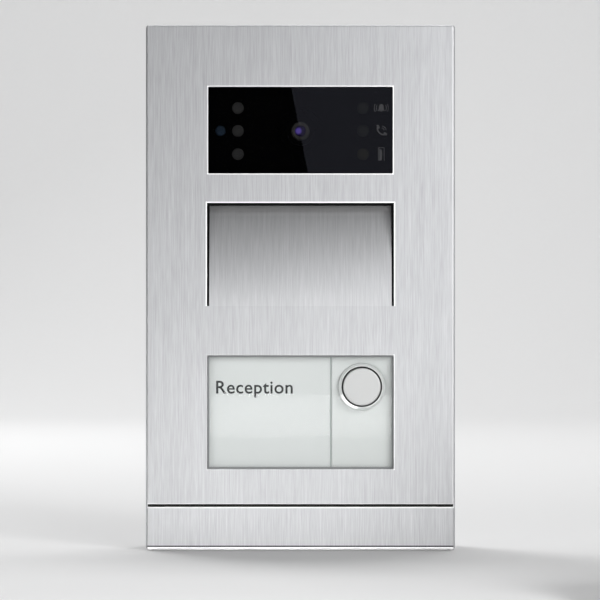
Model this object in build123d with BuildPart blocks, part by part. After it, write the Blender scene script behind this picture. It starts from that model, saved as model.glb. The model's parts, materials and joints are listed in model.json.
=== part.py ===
"""Wall-mounted door intercom station with camera, loudspeaker and one call button.

Frame: the wall face is the plane Y = 0 and the front looks towards -Y. +X is right and +Z is up.
A depth below is a distance from the wall, so a point at depth d lies at Y = -d. All sizes are in mm.
"""

import math
import os

from build123d import *

os.makedirs("parts", exist_ok=True)

# ---- overall -------------------------------------------------------------------------------
WIDTH = 135.0
HEIGHT = 229.5
DEPTH = 29.0  # wall to the front of the steel plate
SHEET = 2.0  # steel front plate
RIM = 0.7  # housing edge that shows round the plate
SIDE_WALL = 2.5
BACK_WALL = 3.0
SEAL = 0.4  # foam and rubber seals, compressed
GAP = 0.1  # running gap between faces that part when the cover opens

plate_rear = DEPTH - SHEET
rim_depth = plate_rear - SEAL - GAP
plate_half = WIDTH / 2 - RIM
plate_top = HEIGHT / 2 - RIM
inner_half = WIDTH / 2 - SIDE_WALL
inner_top = HEIGHT / 2 - SIDE_WALL

# ---- front openings, as heights above the panel's middle --------------------------------------
STRIP_HEIGHT = 18.4
STRIP_GAP = 1.05
CAMERA_OPENING = (80.4, 37.7)
CAMERA_Z = 68.65
BAFFLE_SLIT = 1.0
BAFFLE_HALF = 40.8
BAFFLE_BOTTOM = -8.1
BAFFLE_TOP = 36.9
BAFFLE_SINK = 8.0  # how far the top edge of the baffle lies behind the plate
NAME_OPENING = (81.2, 49.4)
NAME_Z = -54.4
DIVIDER_X = 13.3

strip_bottom = -plate_top
strip_top = strip_bottom + STRIP_HEIGHT
plate_bottom = strip_top + STRIP_GAP

# ---- modules behind the plate -------------------------------------------------------------------
MODULE_HALF = 45.0
MODULE_WALL = 1.5
CARRIER = (5.0, 7.0)  # depth of the back and front of the chassis plate
WINDOW = (24.6, 26.6)  # depth of the back and front of both windows
BOARD = (10.0, 11.6)  # depth of the back and front of the circuit boards
CAMERA_BAY = (45.5, 92.0)  # lowest and highest Z
AUDIO_BAY = (-21.0, 42.5)
BUTTON_BAY = (-83.0, -25.5)
AUDIO_FRONT = 15.0

# ---- camera --------------------------------------------------------------------------------------
GIMBAL_DEPTH = 16.0
BARREL_RADIUS = 6.0
LENS_TUBE_RADIUS = 4.05
LENS_TUBE_FRONT = 22.5
RING_INNER = 7.3
RING_OUTER = 9.3
PIVOT_RADIUS = 1.0
PIVOT_PLAY = 0.06
LED_X = 27.4
LED_ROWS = (10.0, 0.0, -10.2)  # above the camera's axis
LED_RADIUS = 2.5
SENSOR_X = -35.1
SENSOR_RADIUS = 2.25
ICON_X = 35.4

# ---- call button ---------------------------------------------------------------------------------
BUTTON_X = 26.8
BUTTON_Z = -43.3
CAP_RADIUS = 7.9
CAP_FRONT = 30.2
COLLAR_INNER = 8.87
COLLAR_OUTER = 10.2
COLLAR_FRONT = 27.9
STEM_RADIUS = 4.0

# ---- cover hinge: claws that turn about the plate's top rear edge --------------------------------
HINGE_DEPTH = plate_rear
HINGE_Z = plate_top
CLAW_RADII = (5.0, 6.5)
CLAW_SWEEP = 60.0
CLAW_X = 35.0
CLAW_WIDTH = 12.0

# ---- fastenings ------------------------------------------------------------------------------------
WALL_HOLE = (58.0, 98.0)
WALL_HOLE_RADIUS = 2.5
LOCK_X = 52.0
LOCK_Z = -104.0
LOCK_SCREW_RADIUS = 1.5
LOCK_BOSS_FRONT = 22.0
CABLE_ENTRY = (-20.0, -98.0)
CABLE_ENTRY_RADIUS = 9.0
CARRIER_SCREWS = (49.0, 5.5, 81.0)  # X spacing half, middle Z, Z spacing half

# ---- speaker ---------------------------------------------------------------------------------------
SPEAKER_Z = 11.0
SPEAKER_RADIUS = 20.0
GRILLE_RADIUS = 17.5
MICROPHONE = (30.0, -14.0)

# ---- terminal board ----------------------------------------------------------------------------------
TERMINAL_BOARD = (-2.0, 46.0, -109.5, -87.0)  # X low, X high, Z low, Z high
TERMINAL_FRONT = 8.6
POLES = 5
POLE_PITCH = 5.0
DIAL_X = 32.0
DIAL_ROWS = (-92.5, -103.8)
DIAL_RADIUS = 3.2
TRIMMER = (41.6, -92.5)
TRIMMER_RADIUS = 2.6


def front(depth):
    """The plane at this depth, facing the front, with X to the right and Z up."""
    return Plane.XZ.offset(depth)


def finish(piece, name):
    piece.part.label = name
    export_step(piece.part, f"parts/{name}.step")


def middle(low_high):
    return (low_high[0] + low_high[1]) / 2


def span(low_high):
    return low_high[1] - low_high[0]


# =====================================================================================================
# Housing
# =====================================================================================================
GASKET_OUTER = (129.0, 223.5)
GASKET_WIDTH = 3.0
GASKET_DEPTH = 1.5
NOTCH_DEPTH = 23.5  # front of the bottom wall, set back for the closing strip

# the four outer walls, standing on the back plate
with BuildPart() as housing_frame:
    with BuildSketch(front(BACK_WALL)):
        RectangleRounded(WIDTH, HEIGHT, 1.5)
        RectangleRounded(2 * inner_half, 2 * inner_top, 1.0, mode=Mode.SUBTRACT)
    extrude(amount=rim_depth - BACK_WALL)
    chamfer(housing_frame.faces().sort_by(Axis.Y)[0].outer_wire().edges(), 0.3)
    with BuildSketch(front(NOTCH_DEPTH)):
        with Locations((0, -HEIGHT / 2)):
            Rectangle(2 * inner_half, 4 * SIDE_WALL)
    extrude(amount=rim_depth, mode=Mode.SUBTRACT)
    # rounded noses inside the top wall that the cover's claws turn about
    for x in (-CLAW_X, CLAW_X):
        with BuildSketch(Plane.YZ.offset(x - CLAW_WIDTH / 2)):
            with Locations((-HINGE_DEPTH, HINGE_Z)):
                Circle(CLAW_RADII[0] - 0.15)
            with Locations((-rim_depth + 0.1, HINGE_Z)):
                Rectangle(20.0, 20.0, align=(Align.MAX, Align.CENTER), mode=Mode.SUBTRACT)
            with Locations((-HINGE_DEPTH, inner_top + 0.5)):
                Rectangle(20.0, 20.0, align=(Align.CENTER, Align.MIN), mode=Mode.SUBTRACT)
        extrude(amount=CLAW_WIDTH)
finish(housing_frame, "housing_frame")

with BuildPart() as back_plate:
    with BuildSketch(front(0)):
        RectangleRounded(WIDTH, HEIGHT, 1.5)
    extrude(amount=BACK_WALL)
    # groove for the wall gasket
    with BuildSketch(front(0)):
        Rectangle(*GASKET_OUTER)
        Rectangle(GASKET_OUTER[0] - 2 * GASKET_WIDTH, GASKET_OUTER[1] - 2 * GASKET_WIDTH, mode=Mode.SUBTRACT)
    extrude(amount=GASKET_DEPTH, mode=Mode.SUBTRACT)
    # bosses for the lock screws, the chassis screws and the wall screws
    with BuildSketch(front(BACK_WALL)):
        with Locations((LOCK_X, LOCK_Z), (-LOCK_X, LOCK_Z)):
            Circle(4.0)
    extrude(amount=LOCK_BOSS_FRONT - BACK_WALL)
    with BuildSketch(front(BACK_WALL)):
        with Locations((0, CARRIER_SCREWS[1])):
            with GridLocations(2 * CARRIER_SCREWS[0], 2 * CARRIER_SCREWS[2], 2, 2):
                Circle(3.0)
    extrude(amount=CARRIER[0] - BACK_WALL)
    with BuildSketch(front(BACK_WALL)):
        with GridLocations(2 * WALL_HOLE[0], 2 * WALL_HOLE[1], 2, 2):
            Circle(5.0)
    extrude(amount=1.5)
    # spacers under the terminal board
    with BuildSketch(front(BACK_WALL)):
        with Locations((middle(TERMINAL_BOARD[0:2]), middle(TERMINAL_BOARD[2:4]))):
            with GridLocations(span(TERMINAL_BOARD[0:2]) - 7, span(TERMINAL_BOARD[2:4]) - 7, 2, 2):
                Circle(2.6)
    extrude(amount=TERMINAL_FRONT - 1.6 - BACK_WALL)
    # stiffening ribs up the side channels
    with BuildSketch(front(BACK_WALL)):
        with GridLocations(2 * WALL_HOLE[0], 50.0, 2, 3):
            Rectangle(9.0, 1.6)
    extrude(amount=3.0)
    with BuildSketch(front(0)):
        with GridLocations(2 * WALL_HOLE[0], 2 * WALL_HOLE[1], 2, 2):
            Circle(WALL_HOLE_RADIUS)
        with Locations(CABLE_ENTRY):
            Circle(CABLE_ENTRY_RADIUS)
    extrude(amount=BACK_WALL + 2.0, mode=Mode.SUBTRACT)
    with BuildSketch(front(LOCK_BOSS_FRONT)):
        with Locations((LOCK_X, LOCK_Z), (-LOCK_X, LOCK_Z)):
            Circle(LOCK_SCREW_RADIUS + 0.2)
    extrude(amount=-8.0, mode=Mode.SUBTRACT)
    with BuildSketch(front(CARRIER[0])):
        with Locations((0, CARRIER_SCREWS[1])):
            with GridLocations(2 * CARRIER_SCREWS[0], 2 * CARRIER_SCREWS[2], 2, 2):
                Circle(1.3)
    extrude(amount=-3.0, mode=Mode.SUBTRACT)
finish(back_plate, "back_plate")

with BuildPart() as wall_gasket:
    with BuildSketch(front(0)):
        Rectangle(*GASKET_OUTER)
        Rectangle(GASKET_OUTER[0] - 2 * GASKET_WIDTH, GASKET_OUTER[1] - 2 * GASKET_WIDTH, mode=Mode.SUBTRACT)
    extrude(amount=GASKET_DEPTH)
finish(wall_gasket, "wall_gasket")

GROMMET_AXIS = Plane(origin=(CABLE_ENTRY[0], 0, CABLE_ENTRY[1]), x_dir=(1, 0, 0), z_dir=(0, 0, 1))
with BuildPart() as cable_grommet:
    # half profile: radius to the right, Y up the page, so the grommet turns about a line along Y
    with BuildSketch(GROMMET_AXIS):
        with BuildLine():
            Polyline(
                (0, -2.0),
                (0, -1.0),
                (CABLE_ENTRY_RADIUS, -1.0),
                (CABLE_ENTRY_RADIUS, -BACK_WALL),
                (CABLE_ENTRY_RADIUS + 2.2, -BACK_WALL),
                (CABLE_ENTRY_RADIUS + 1.6, -4.6),
                (6.4, -4.6),
                (5.4, -6.0),
                (4.0, -6.0),
                (3.2, -2.0),
                close=True,
            )
        make_face()
    revolve(axis=Axis((CABLE_ENTRY[0], 0, CABLE_ENTRY[1]), (0, 1, 0)))
finish(cable_grommet, "cable_grommet")

# =====================================================================================================
# Chassis plate and its screws
# =====================================================================================================
CARRIER_HALF = 53.0
with BuildPart() as module_carrier:
    with BuildSketch(front(CARRIER[0])):
        with Locations((0, middle((BUTTON_BAY[0], CAMERA_BAY[1])))):
            RectangleRounded(2 * CARRIER_HALF, CAMERA_BAY[1] - BUTTON_BAY[0] + 4.0, 2.0)
        # a cable window behind each module
        for bay in (CAMERA_BAY, AUDIO_BAY, BUTTON_BAY):
            with Locations((0, middle(bay))):
                SlotOverall(56.0, 14.0, mode=Mode.SUBTRACT)
    extrude(amount=span(CARRIER))
    # locating ribs between the modules
    with BuildSketch(front(CARRIER[1])):
        for z in (middle((AUDIO_BAY[1], CAMERA_BAY[0])), middle((BUTTON_BAY[1], AUDIO_BAY[0]))):
            with Locations((0, z)):
                Rectangle(2 * MODULE_HALF, 1.4)
    extrude(amount=4.0)
    with BuildSketch(front(CARRIER[0])):
        with Locations((0, CARRIER_SCREWS[1])):
            with GridLocations(2 * CARRIER_SCREWS[0], 2 * CARRIER_SCREWS[2], 2, 2):
                Circle(1.6)
    extrude(amount=span(CARRIER), mode=Mode.SUBTRACT)
finish(module_carrier, "module_carrier")


def pan_head_screws(head_depth, places, radius, length, head_radius, head_height):
    """Screws whose heads sit on head_depth, with a cross recess, driven towards the wall."""
    with BuildPart() as screws:
        with BuildSketch(front(head_depth)):
            with Locations(*places):
                Circle(head_radius)
        extrude(amount=head_height)
        fillet(screws.faces().sort_by(Axis.Y)[0 : len(places)].edges(), head_height * 0.6)
        with BuildSketch(front(head_depth)):
            with Locations(*places):
                Circle(radius)
        extrude(amount=-length)
        with BuildSketch(front(head_depth + head_height)):
            with Locations(*places):
                Rectangle(head_radius * 1.1, head_radius * 0.28)
                Rectangle(head_radius * 0.28, head_radius * 1.1)
        extrude(amount=-head_height * 0.6, mode=Mode.SUBTRACT)
    return screws


carrier_screw_places = [
    (x, CARRIER_SCREWS[1] + z)
    for x in (-CARRIER_SCREWS[0], CARRIER_SCREWS[0])
    for z in (-CARRIER_SCREWS[2], CARRIER_SCREWS[2])
]
carrier_screws = pan_head_screws(CARRIER[1], carrier_screw_places, 1.25, 4.5, 2.7, 1.7)
finish(carrier_screws, "carrier_screws")

# =====================================================================================================
# Module bodies
# =====================================================================================================


def module_tray(bay, depth, sockets, socket_depth, posts, inner_walls):
    """An open-fronted box on the chassis plate, for one module.

    sockets are the heights of the slots for ribbon plugs in its right-hand wall, posts is the
    spacing of the four posts that carry its circuit board, and inner_walls are the X positions
    of the upright walls that part it into bays in front of the board.
    """
    with BuildPart() as tray:
        with BuildSketch(front(CARRIER[1])):
            with Locations((0, middle(bay))):
                RectangleRounded(2 * MODULE_HALF, span(bay), 1.5)
        extrude(amount=depth - CARRIER[1])
        with BuildSketch(front(CARRIER[1] + MODULE_WALL)):
            with Locations((0, middle(bay))):
                Rectangle(2 * (MODULE_HALF - MODULE_WALL), span(bay) - 2 * MODULE_WALL)
        extrude(amount=depth, mode=Mode.SUBTRACT)
        with BuildSketch(front(socket_depth[0])):
            with Locations(*[(MODULE_HALF, z) for z in sockets]):
                Rectangle(4 * MODULE_WALL, 14.0)
        extrude(amount=span(socket_depth), mode=Mode.SUBTRACT)
        with BuildSketch(front(CARRIER[1] + MODULE_WALL)):
            with Locations((0, middle(bay))):
                with GridLocations(*posts, 2, 2):
                    Circle(2.4)
        extrude(amount=BOARD[0] - CARRIER[1] - MODULE_WALL)
        for x in inner_walls:
            with BuildSketch(front(BOARD[1])):
                with Locations((x, middle(bay))):
                    Rectangle(1.0, span(bay) - 2 * MODULE_WALL)
            extrude(amount=depth - BOARD[1])
    return tray


JUMPER_DEPTH = (12.0, 18.0)  # depth of the ribbon sockets on the two deep modules
JUMPER_Z = ((66.0, 28.0), (-4.0, -42.0))  # each ribbon's upper and lower socket

camera_housing = module_tray(CAMERA_BAY, WINDOW[0], [JUMPER_Z[0][0]], JUMPER_DEPTH, (76.0, 34.0), [])
finish(camera_housing, "camera_housing")

with BuildPart() as audio_housing:
    with BuildSketch(front(CARRIER[1])):
        with Locations((0, middle(AUDIO_BAY))):
            RectangleRounded(2 * MODULE_HALF, span(AUDIO_BAY), 1.5)
    extrude(amount=AUDIO_FRONT - CARRIER[1])
    fillet(audio_housing.faces().sort_by(Axis.Y)[0].edges(), 0.6)
    # open towards the chassis plate, with a closed front
    with BuildSketch(front(CARRIER[1])):
        with Locations((0, middle(AUDIO_BAY))):
            Rectangle(2 * (MODULE_HALF - MODULE_WALL), span(AUDIO_BAY) - 2 * MODULE_WALL)
    extrude(amount=AUDIO_FRONT - MODULE_WALL - CARRIER[1], mode=Mode.SUBTRACT)
    with BuildSketch(front(CARRIER[1])):
        with Locations((0, SPEAKER_Z)):
            Circle(GRILLE_RADIUS)
        with Locations(MICROPHONE):
            Circle(4.0)
    extrude(amount=AUDIO_FRONT, mode=Mode.SUBTRACT)
    with BuildSketch(front(9.0)):
        with Locations((MODULE_HALF, JUMPER_Z[0][1]), (MODULE_HALF, JUMPER_Z[1][0])):
            Rectangle(4 * MODULE_WALL, 14.0)
    extrude(amount=3.6, mode=Mode.SUBTRACT)
finish(audio_housing, "audio_housing")

button_housing = module_tray(BUTTON_BAY, WINDOW[0], [JUMPER_Z[1][1]], JUMPER_DEPTH, (78.0, 46.0), [DIVIDER_X])
finish(button_housing, "button_housing")

# =====================================================================================================
# Camera module
# =====================================================================================================
BRACKET_HALF = 15.5
BRACKET = (13.0, 19.0)
BRACKET_BORE = 10.0
CAMERA_MASK = (22.4, 23.4)
led_places = [(side * LED_X, CAMERA_Z + row) for side in (-1, 1) for row in LED_ROWS]
icon_places = [(ICON_X, CAMERA_Z + row) for row in LED_ROWS]

with BuildPart() as camera_board:
    with BuildSketch(front(BOARD[0])):
        with Locations((0, CAMERA_Z)):
            Rectangle(84.0, 41.0)
            Rectangle(2 * BRACKET_HALF + 1.5, 2 * BRACKET_HALF + 1.5, mode=Mode.SUBTRACT)
    extrude(amount=span(BOARD))
finish(camera_board, "camera_board")

with BuildPart() as camera_bracket:
    with BuildSketch(front(BRACKET[0])):
        with Locations((0, CAMERA_Z)):
            RectangleRounded(2 * BRACKET_HALF, 2 * BRACKET_HALF, 2.5)
            Circle(BRACKET_BORE, mode=Mode.SUBTRACT)
    extrude(amount=span(BRACKET))
    with BuildSketch(front(CARRIER[1] + MODULE_WALL)):
        with Locations((0, CAMERA_Z)):
            with GridLocations(2 * BRACKET_HALF - 6, 2 * BRACKET_HALF - 6, 2, 2):
                Circle(2.6)
    extrude(amount=BRACKET[0] - CARRIER[1] - MODULE_WALL)
    # bores for the ring's upright pivots
    with BuildSketch(Plane.XY.offset(CAMERA_Z)):
        with Locations((0, -GIMBAL_DEPTH)):
            Circle(PIVOT_RADIUS + PIVOT_PLAY)
    extrude(amount=13.0, both=True, mode=Mode.SUBTRACT)
finish(camera_bracket, "camera_bracket")

RING = (14.0, 18.0)
with BuildPart() as pan_ring:
    with BuildSketch(front(RING[0])):
        with Locations((0, CAMERA_Z)):
            Circle(RING_OUTER)
    extrude(amount=span(RING))
    with BuildSketch(Plane.XY.offset(CAMERA_Z)):
        with Locations((0, -GIMBAL_DEPTH)):
            Circle(PIVOT_RADIUS)
    extrude(amount=12.5, both=True)
    with BuildSketch(front(RING[0])):
        with Locations((0, CAMERA_Z)):
            Circle(RING_INNER)
    extrude(amount=span(RING), mode=Mode.SUBTRACT)
    with BuildSketch(Plane.YZ):
        with Locations((-GIMBAL_DEPTH, CAMERA_Z)):
            Circle(PIVOT_RADIUS + PIVOT_PLAY)
    extrude(amount=RING_OUTER + 1, both=True, mode=Mode.SUBTRACT)
finish(pan_ring, "pan_ring")

LENS_RECESS = (3.3, 1.4)  # radius, depth
with BuildPart() as camera_barrel:
    with BuildSketch(front(12.0)):
        with Locations((0, CAMERA_Z)):
            Circle(BARREL_RADIUS)
    extrude(amount=7.0)
    with BuildSketch(front(19.0)):
        with Locations((0, CAMERA_Z)):
            Circle(LENS_TUBE_RADIUS)
    extrude(amount=LENS_TUBE_FRONT - 19.0)
    chamfer(camera_barrel.faces().sort_by(Axis.Y)[0].edges(), 0.35)
    with BuildSketch(Plane.YZ):
        with Locations((-GIMBAL_DEPTH, CAMERA_Z)):
            Circle(PIVOT_RADIUS)
    extrude(amount=RING_OUTER - 0.4, both=True)
    with BuildSketch(front(LENS_TUBE_FRONT)):
        with Locations((0, CAMERA_Z)):
            Circle(LENS_RECESS[0])
    extrude(amount=-LENS_RECESS[1], taper=25, mode=Mode.SUBTRACT)
    # light path down to the image sensor
    with BuildSketch(front(12.0)):
        with Locations((0, CAMERA_Z)):
            Circle(2.2)
    extrude(amount=LENS_TUBE_FRONT - 12.0, mode=Mode.SUBTRACT)
finish(camera_barrel, "camera_barrel")

LENS_BACK = LENS_TUBE_FRONT - LENS_RECESS[1]
with BuildPart() as front_lens:
    with BuildSketch(front(LENS_BACK)):
        with Locations((0, CAMERA_Z)):
            Circle(2.5)
    extrude(amount=1.1)
    fillet(front_lens.faces().sort_by(Axis.Y)[0].edges(), 0.85)
finish(front_lens, "front_lens")

with BuildPart() as image_sensor_board:
    with BuildSketch(front(10.9)):
        with Locations((0, CAMERA_Z)):
            RectangleRounded(9.0, 9.0, 0.6)
    extrude(amount=0.8)
    with BuildSketch(front(11.7)):
        with Locations((0, CAMERA_Z)):
            Rectangle(5.0, 5.0)
    extrude(amount=0.3)
finish(image_sensor_board, "image_sensor_board")

LED_FLANGE = (2.9, 1.0)  # radius, thickness
LED_SHOULDER = 18.6
with BuildPart() as infrared_leds:
    with BuildSketch(front(BOARD[1])):
        with Locations(*led_places):
            Circle(LED_FLANGE[0])
    extrude(amount=LED_FLANGE[1])
    with BuildSketch(front(BOARD[1] + LED_FLANGE[1])):
        with Locations(*led_places):
            Circle(LED_RADIUS)
    extrude(amount=LED_SHOULDER - BOARD[1] - LED_FLANGE[1])
    with Locations(*[(x, -LED_SHOULDER, z) for x, z in led_places]):
        Sphere(LED_RADIUS)
finish(infrared_leds, "infrared_leds")

with BuildPart() as light_sensor:
    with BuildSketch(front(BOARD[1])):
        with Locations((SENSOR_X, CAMERA_Z)):
            Circle(SENSOR_RADIUS)
    extrude(amount=CAMERA_MASK[1] - BOARD[1] - 0.2)
    fillet(light_sensor.faces().sort_by(Axis.Y)[0].edges(), 0.6)
finish(light_sensor, "light_sensor")

ICON_GUIDE = (7.2, 6.4)
with BuildPart() as camera_mask:
    with BuildSketch(front(CAMERA_MASK[0])):
        with Locations((0, CAMERA_Z)):
            Rectangle(86.5, 42.5)
            Circle(11.0, mode=Mode.SUBTRACT)
        with Locations(*led_places):
            Circle(LED_RADIUS + 0.17, mode=Mode.SUBTRACT)
        with Locations((SENSOR_X, CAMERA_Z)):
            Circle(SENSOR_RADIUS + 0.15, mode=Mode.SUBTRACT)
        with Locations(*icon_places):
            Rectangle(ICON_GUIDE[0] + 0.2, ICON_GUIDE[1] + 0.2, mode=Mode.SUBTRACT)
    extrude(amount=span(CAMERA_MASK))
finish(camera_mask, "camera_mask")

with BuildPart() as icon_light_guides:
    with BuildSketch(front(14.0)):
        with Locations(*icon_places):
            Rectangle(*ICON_GUIDE)
    extrude(amount=CAMERA_MASK[1] - 14.0)
finish(icon_light_guides, "icon_light_guides")

WINDOW_MARGIN = 2.6  # how far each window reaches behind the plate
with BuildPart() as camera_window:
    with BuildSketch(front(WINDOW[0])):
        with Locations((0, CAMERA_Z)):
            RectangleRounded(CAMERA_OPENING[0] + 2 * WINDOW_MARGIN, CAMERA_OPENING[1] + 2 * WINDOW_MARGIN, 1.0)
    extrude(amount=span(WINDOW))
finish(camera_window, "camera_window")

# =====================================================================================================
# Audio module
# =====================================================================================================
speaker_axis = Axis((0, 0, SPEAKER_Z), (0, 1, 0))


def speaker_profile(*points, close=True):
    """Half profile on the X-Y plane at the speaker's height: (radius, depth) pairs."""
    Polyline(*[(radius, -depth) for radius, depth in points], close=close)


with BuildPart() as speaker_basket:
    with BuildSketch(Plane.XY.offset(SPEAKER_Z)):
        with BuildLine():
            speaker_profile(
                (9.4, 9.7), (12.0, 9.7), (18.0, 12.2), (SPEAKER_RADIUS, 12.2), (SPEAKER_RADIUS, 13.2),
                (17.6, 13.2), (11.6, 10.5), (9.4, 10.5),
            )
        make_face()
    revolve(axis=speaker_axis)
finish(speaker_basket, "speaker_basket")

with BuildPart() as speaker_magnet:
    with BuildSketch(front(7.3)):
        with Locations((0, SPEAKER_Z)):
            Circle(9.2)
    extrude(amount=2.4)
    fillet(speaker_magnet.edges().filter_by(GeomType.CIRCLE), 0.4)
finish(speaker_magnet, "speaker_magnet")

with BuildPart() as speaker_cone:
    with BuildSketch(Plane.XY.offset(SPEAKER_Z)):
        with BuildLine():
            speaker_profile((0, 12.0), (4.5, 11.3), (14.4, 13.0), (14.4, 13.3), (4.6, 11.7), (0, 12.4))
        make_face()
    revolve(axis=speaker_axis)
finish(speaker_cone, "speaker_cone")

with BuildPart() as speaker_surround:
    # a half-roll ring between the cone and the basket
    with BuildSketch(Plane.XY.offset(SPEAKER_Z)):
        with BuildLine():
            ThreePointArc((14.5, -13.2), (15.7, -13.9), (16.9, -13.2))
            Line((16.9, -13.2), (19.6, -13.2))
            Line((19.6, -13.2), (19.6, -13.4))
            Line((19.6, -13.4), (17.1, -13.4))
            ThreePointArc((17.1, -13.4), (15.8, -14.2), (14.5, -13.5))
            Line((14.5, -13.5), (14.5, -13.2))
        make_face()
    revolve(axis=speaker_axis)
finish(speaker_surround, "speaker_surround")

GRILLE_PITCH = 2.6
with BuildPart() as speaker_grille:
    with BuildSketch(front(AUDIO_FRONT)):
        with Locations((0, SPEAKER_Z)):
            Circle(GRILLE_RADIUS + 1.5)
        # rings of sound holes about the middle
        for ring in range(1, 7):
            with Locations((0, SPEAKER_Z)):
                with PolarLocations(ring * GRILLE_PITCH, 6 * ring):
                    Circle(0.75, mode=Mode.SUBTRACT)
    extrude(amount=0.8)
finish(speaker_grille, "speaker_grille")

with BuildPart() as audio_board:
    with BuildSketch(front(8.6)):
        with Locations((0, middle(AUDIO_BAY))):
            Rectangle(84.0, span(AUDIO_BAY) - 5.0)
        with Locations((0, SPEAKER_Z)):
            Circle(SPEAKER_RADIUS + 0.6, mode=Mode.SUBTRACT)
    extrude(amount=1.4)
finish(audio_board, "audio_board")

with BuildPart() as microphone_capsule:
    with BuildSketch(front(10.6)):
        with Locations(MICROPHONE):
            Circle(3.0)
    extrude(amount=3.4)
finish(microphone_capsule, "microphone_capsule")

with BuildPart() as microphone_boot:
    with BuildSketch(front(10.2)):
        with Locations(MICROPHONE):
            Circle(3.9)
            Circle(3.05, mode=Mode.SUBTRACT)
    extrude(amount=AUDIO_FRONT + 0.8 - 10.2)
    with BuildSketch(front(AUDIO_FRONT)):
        with Locations(MICROPHONE):
            Circle(5.0)
            Circle(1.2, mode=Mode.SUBTRACT)
    extrude(amount=0.8)
finish(microphone_boot, "microphone_boot")

# =====================================================================================================
# Name and call button module
# =====================================================================================================
name_window_low = -NAME_OPENING[0] / 2 - WINDOW_MARGIN
name_window_high = NAME_OPENING[0] / 2 + WINDOW_MARGIN
name_window_height = NAME_OPENING[1] + 2 * WINDOW_MARGIN
DIVIDER_GAP = 0.45  # visible line between the two clear plates

with BuildPart() as name_window:
    with BuildSketch(front(WINDOW[0])):
        with Locations((middle((name_window_low, DIVIDER_X - DIVIDER_GAP / 2)), NAME_Z)):
            Rectangle(DIVIDER_X - DIVIDER_GAP / 2 - name_window_low, name_window_height)
    extrude(amount=span(WINDOW))
    chamfer(name_window.faces().sort_by(Axis.Y)[0].edges(), 0.2)
finish(name_window, "name_window")

with BuildPart() as button_window:
    with BuildSketch(front(WINDOW[0])):
        with Locations((middle((DIVIDER_X + DIVIDER_GAP / 2, name_window_high)), NAME_Z)):
            Rectangle(name_window_high - DIVIDER_X - DIVIDER_GAP / 2, name_window_height)
        with Locations((BUTTON_X, BUTTON_Z)):
            Circle(COLLAR_OUTER + 0.1, mode=Mode.SUBTRACT)
    extrude(amount=span(WINDOW))
    chamfer(button_window.faces().sort_by(Axis.Y)[0].edges(), 0.2)
finish(button_window, "button_window")

LABEL = (24.2, 24.45)
LABEL_X = (-42.4, 12.2)
LABEL_HEIGHT = 53.0
with BuildPart() as name_label:
    with BuildSketch(front(LABEL[0])):
        with Locations((middle(LABEL_X), NAME_Z)):
            Rectangle(span(LABEL_X), LABEL_HEIGHT)
    extrude(amount=span(LABEL))
finish(name_label, "name_label")

LIGHT_GUIDE = (20.6, 24.1)
with BuildPart() as light_guide:
    with BuildSketch(front(LIGHT_GUIDE[0])):
        with Locations((middle((-43.2, DIVIDER_X - 0.8)), NAME_Z)):
            Rectangle(DIVIDER_X - 0.8 + 43.2, 53.4)
    extrude(amount=span(LIGHT_GUIDE))
finish(light_guide, "light_guide")

with BuildPart() as button_diffuser:
    with BuildSketch(front(LIGHT_GUIDE[0])):
        with Locations((middle((DIVIDER_X + 0.8, 43.2)), NAME_Z)):
            Rectangle(43.2 - DIVIDER_X - 0.8, 53.4)
        with Locations((BUTTON_X, BUTTON_Z)):
            Circle(COLLAR_OUTER + 0.1, mode=Mode.SUBTRACT)
    extrude(amount=LABEL[1] - LIGHT_GUIDE[0])
finish(button_diffuser, "button_diffuser")

with BuildPart() as button_board:
    with BuildSketch(front(BOARD[0])):
        with Locations((0, NAME_Z)):
            Rectangle(85.0, 53.0)
    extrude(amount=span(BOARD))
finish(button_board, "button_board")

with BuildPart() as backlight_leds:
    with BuildSketch(front(BOARD[1])):
        with Locations((-16.0, NAME_Z)):
            with GridLocations(26.0, 24.0, 2, 2):
                Rectangle(3.2, 2.8)
        with Locations((BUTTON_X, -70.0)):
            Rectangle(3.2, 2.8)
    extrude(amount=1.4)
finish(backlight_leds, "backlight_leds")

COLLAR_FLANGE = (18.6, 20.4)
with BuildPart() as button_collar:
    with BuildSketch(front(COLLAR_FLANGE[0])):
        with Locations((BUTTON_X, BUTTON_Z)):
            Circle(12.4)
    extrude(amount=span(COLLAR_FLANGE))
    with BuildSketch(front(13.0)):
        with Locations((BUTTON_X, BUTTON_Z)):
            Circle(COLLAR_OUTER)
    extrude(amount=COLLAR_FRONT - 13.0)
    chamfer(button_collar.faces().sort_by(Axis.Y)[0].edges(), 1.1, 0.9)
    with BuildSketch(front(13.0)):
        with Locations((BUTTON_X, BUTTON_Z)):
            Circle(COLLAR_INNER)
    extrude(amount=COLLAR_FRONT, mode=Mode.SUBTRACT)
finish(button_collar, "button_collar")

with BuildPart() as button_seal:
    with BuildSketch(front(20.6)):
        with Locations((BUTTON_X, BUTTON_Z)):
            Circle(COLLAR_INNER)
            Circle(STEM_RADIUS + 0.15, mode=Mode.SUBTRACT)
    extrude(amount=1.2)
finish(button_seal, "button_seal")

STEM = (16.3, 25.2)
with BuildPart() as button_cap:
    with BuildSketch(front(STEM[1])):
        with Locations((BUTTON_X, BUTTON_Z)):
            Circle(CAP_RADIUS)
    extrude(amount=CAP_FRONT - STEM[1])
    fillet(button_cap.faces().sort_by(Axis.Y)[0].edges(), 0.4)
finish(button_cap, "button_cap")

with BuildPart() as button_stem:
    with BuildSketch(front(STEM[0])):
        with Locations((BUTTON_X, BUTTON_Z)):
            Circle(STEM_RADIUS)
    extrude(amount=span(STEM))
    with BuildSketch(front(17.0)):
        with Locations((BUTTON_X, BUTTON_Z)):
            Circle(COLLAR_INNER - 0.3)
    extrude(amount=2.0)
finish(button_stem, "button_stem")

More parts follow.
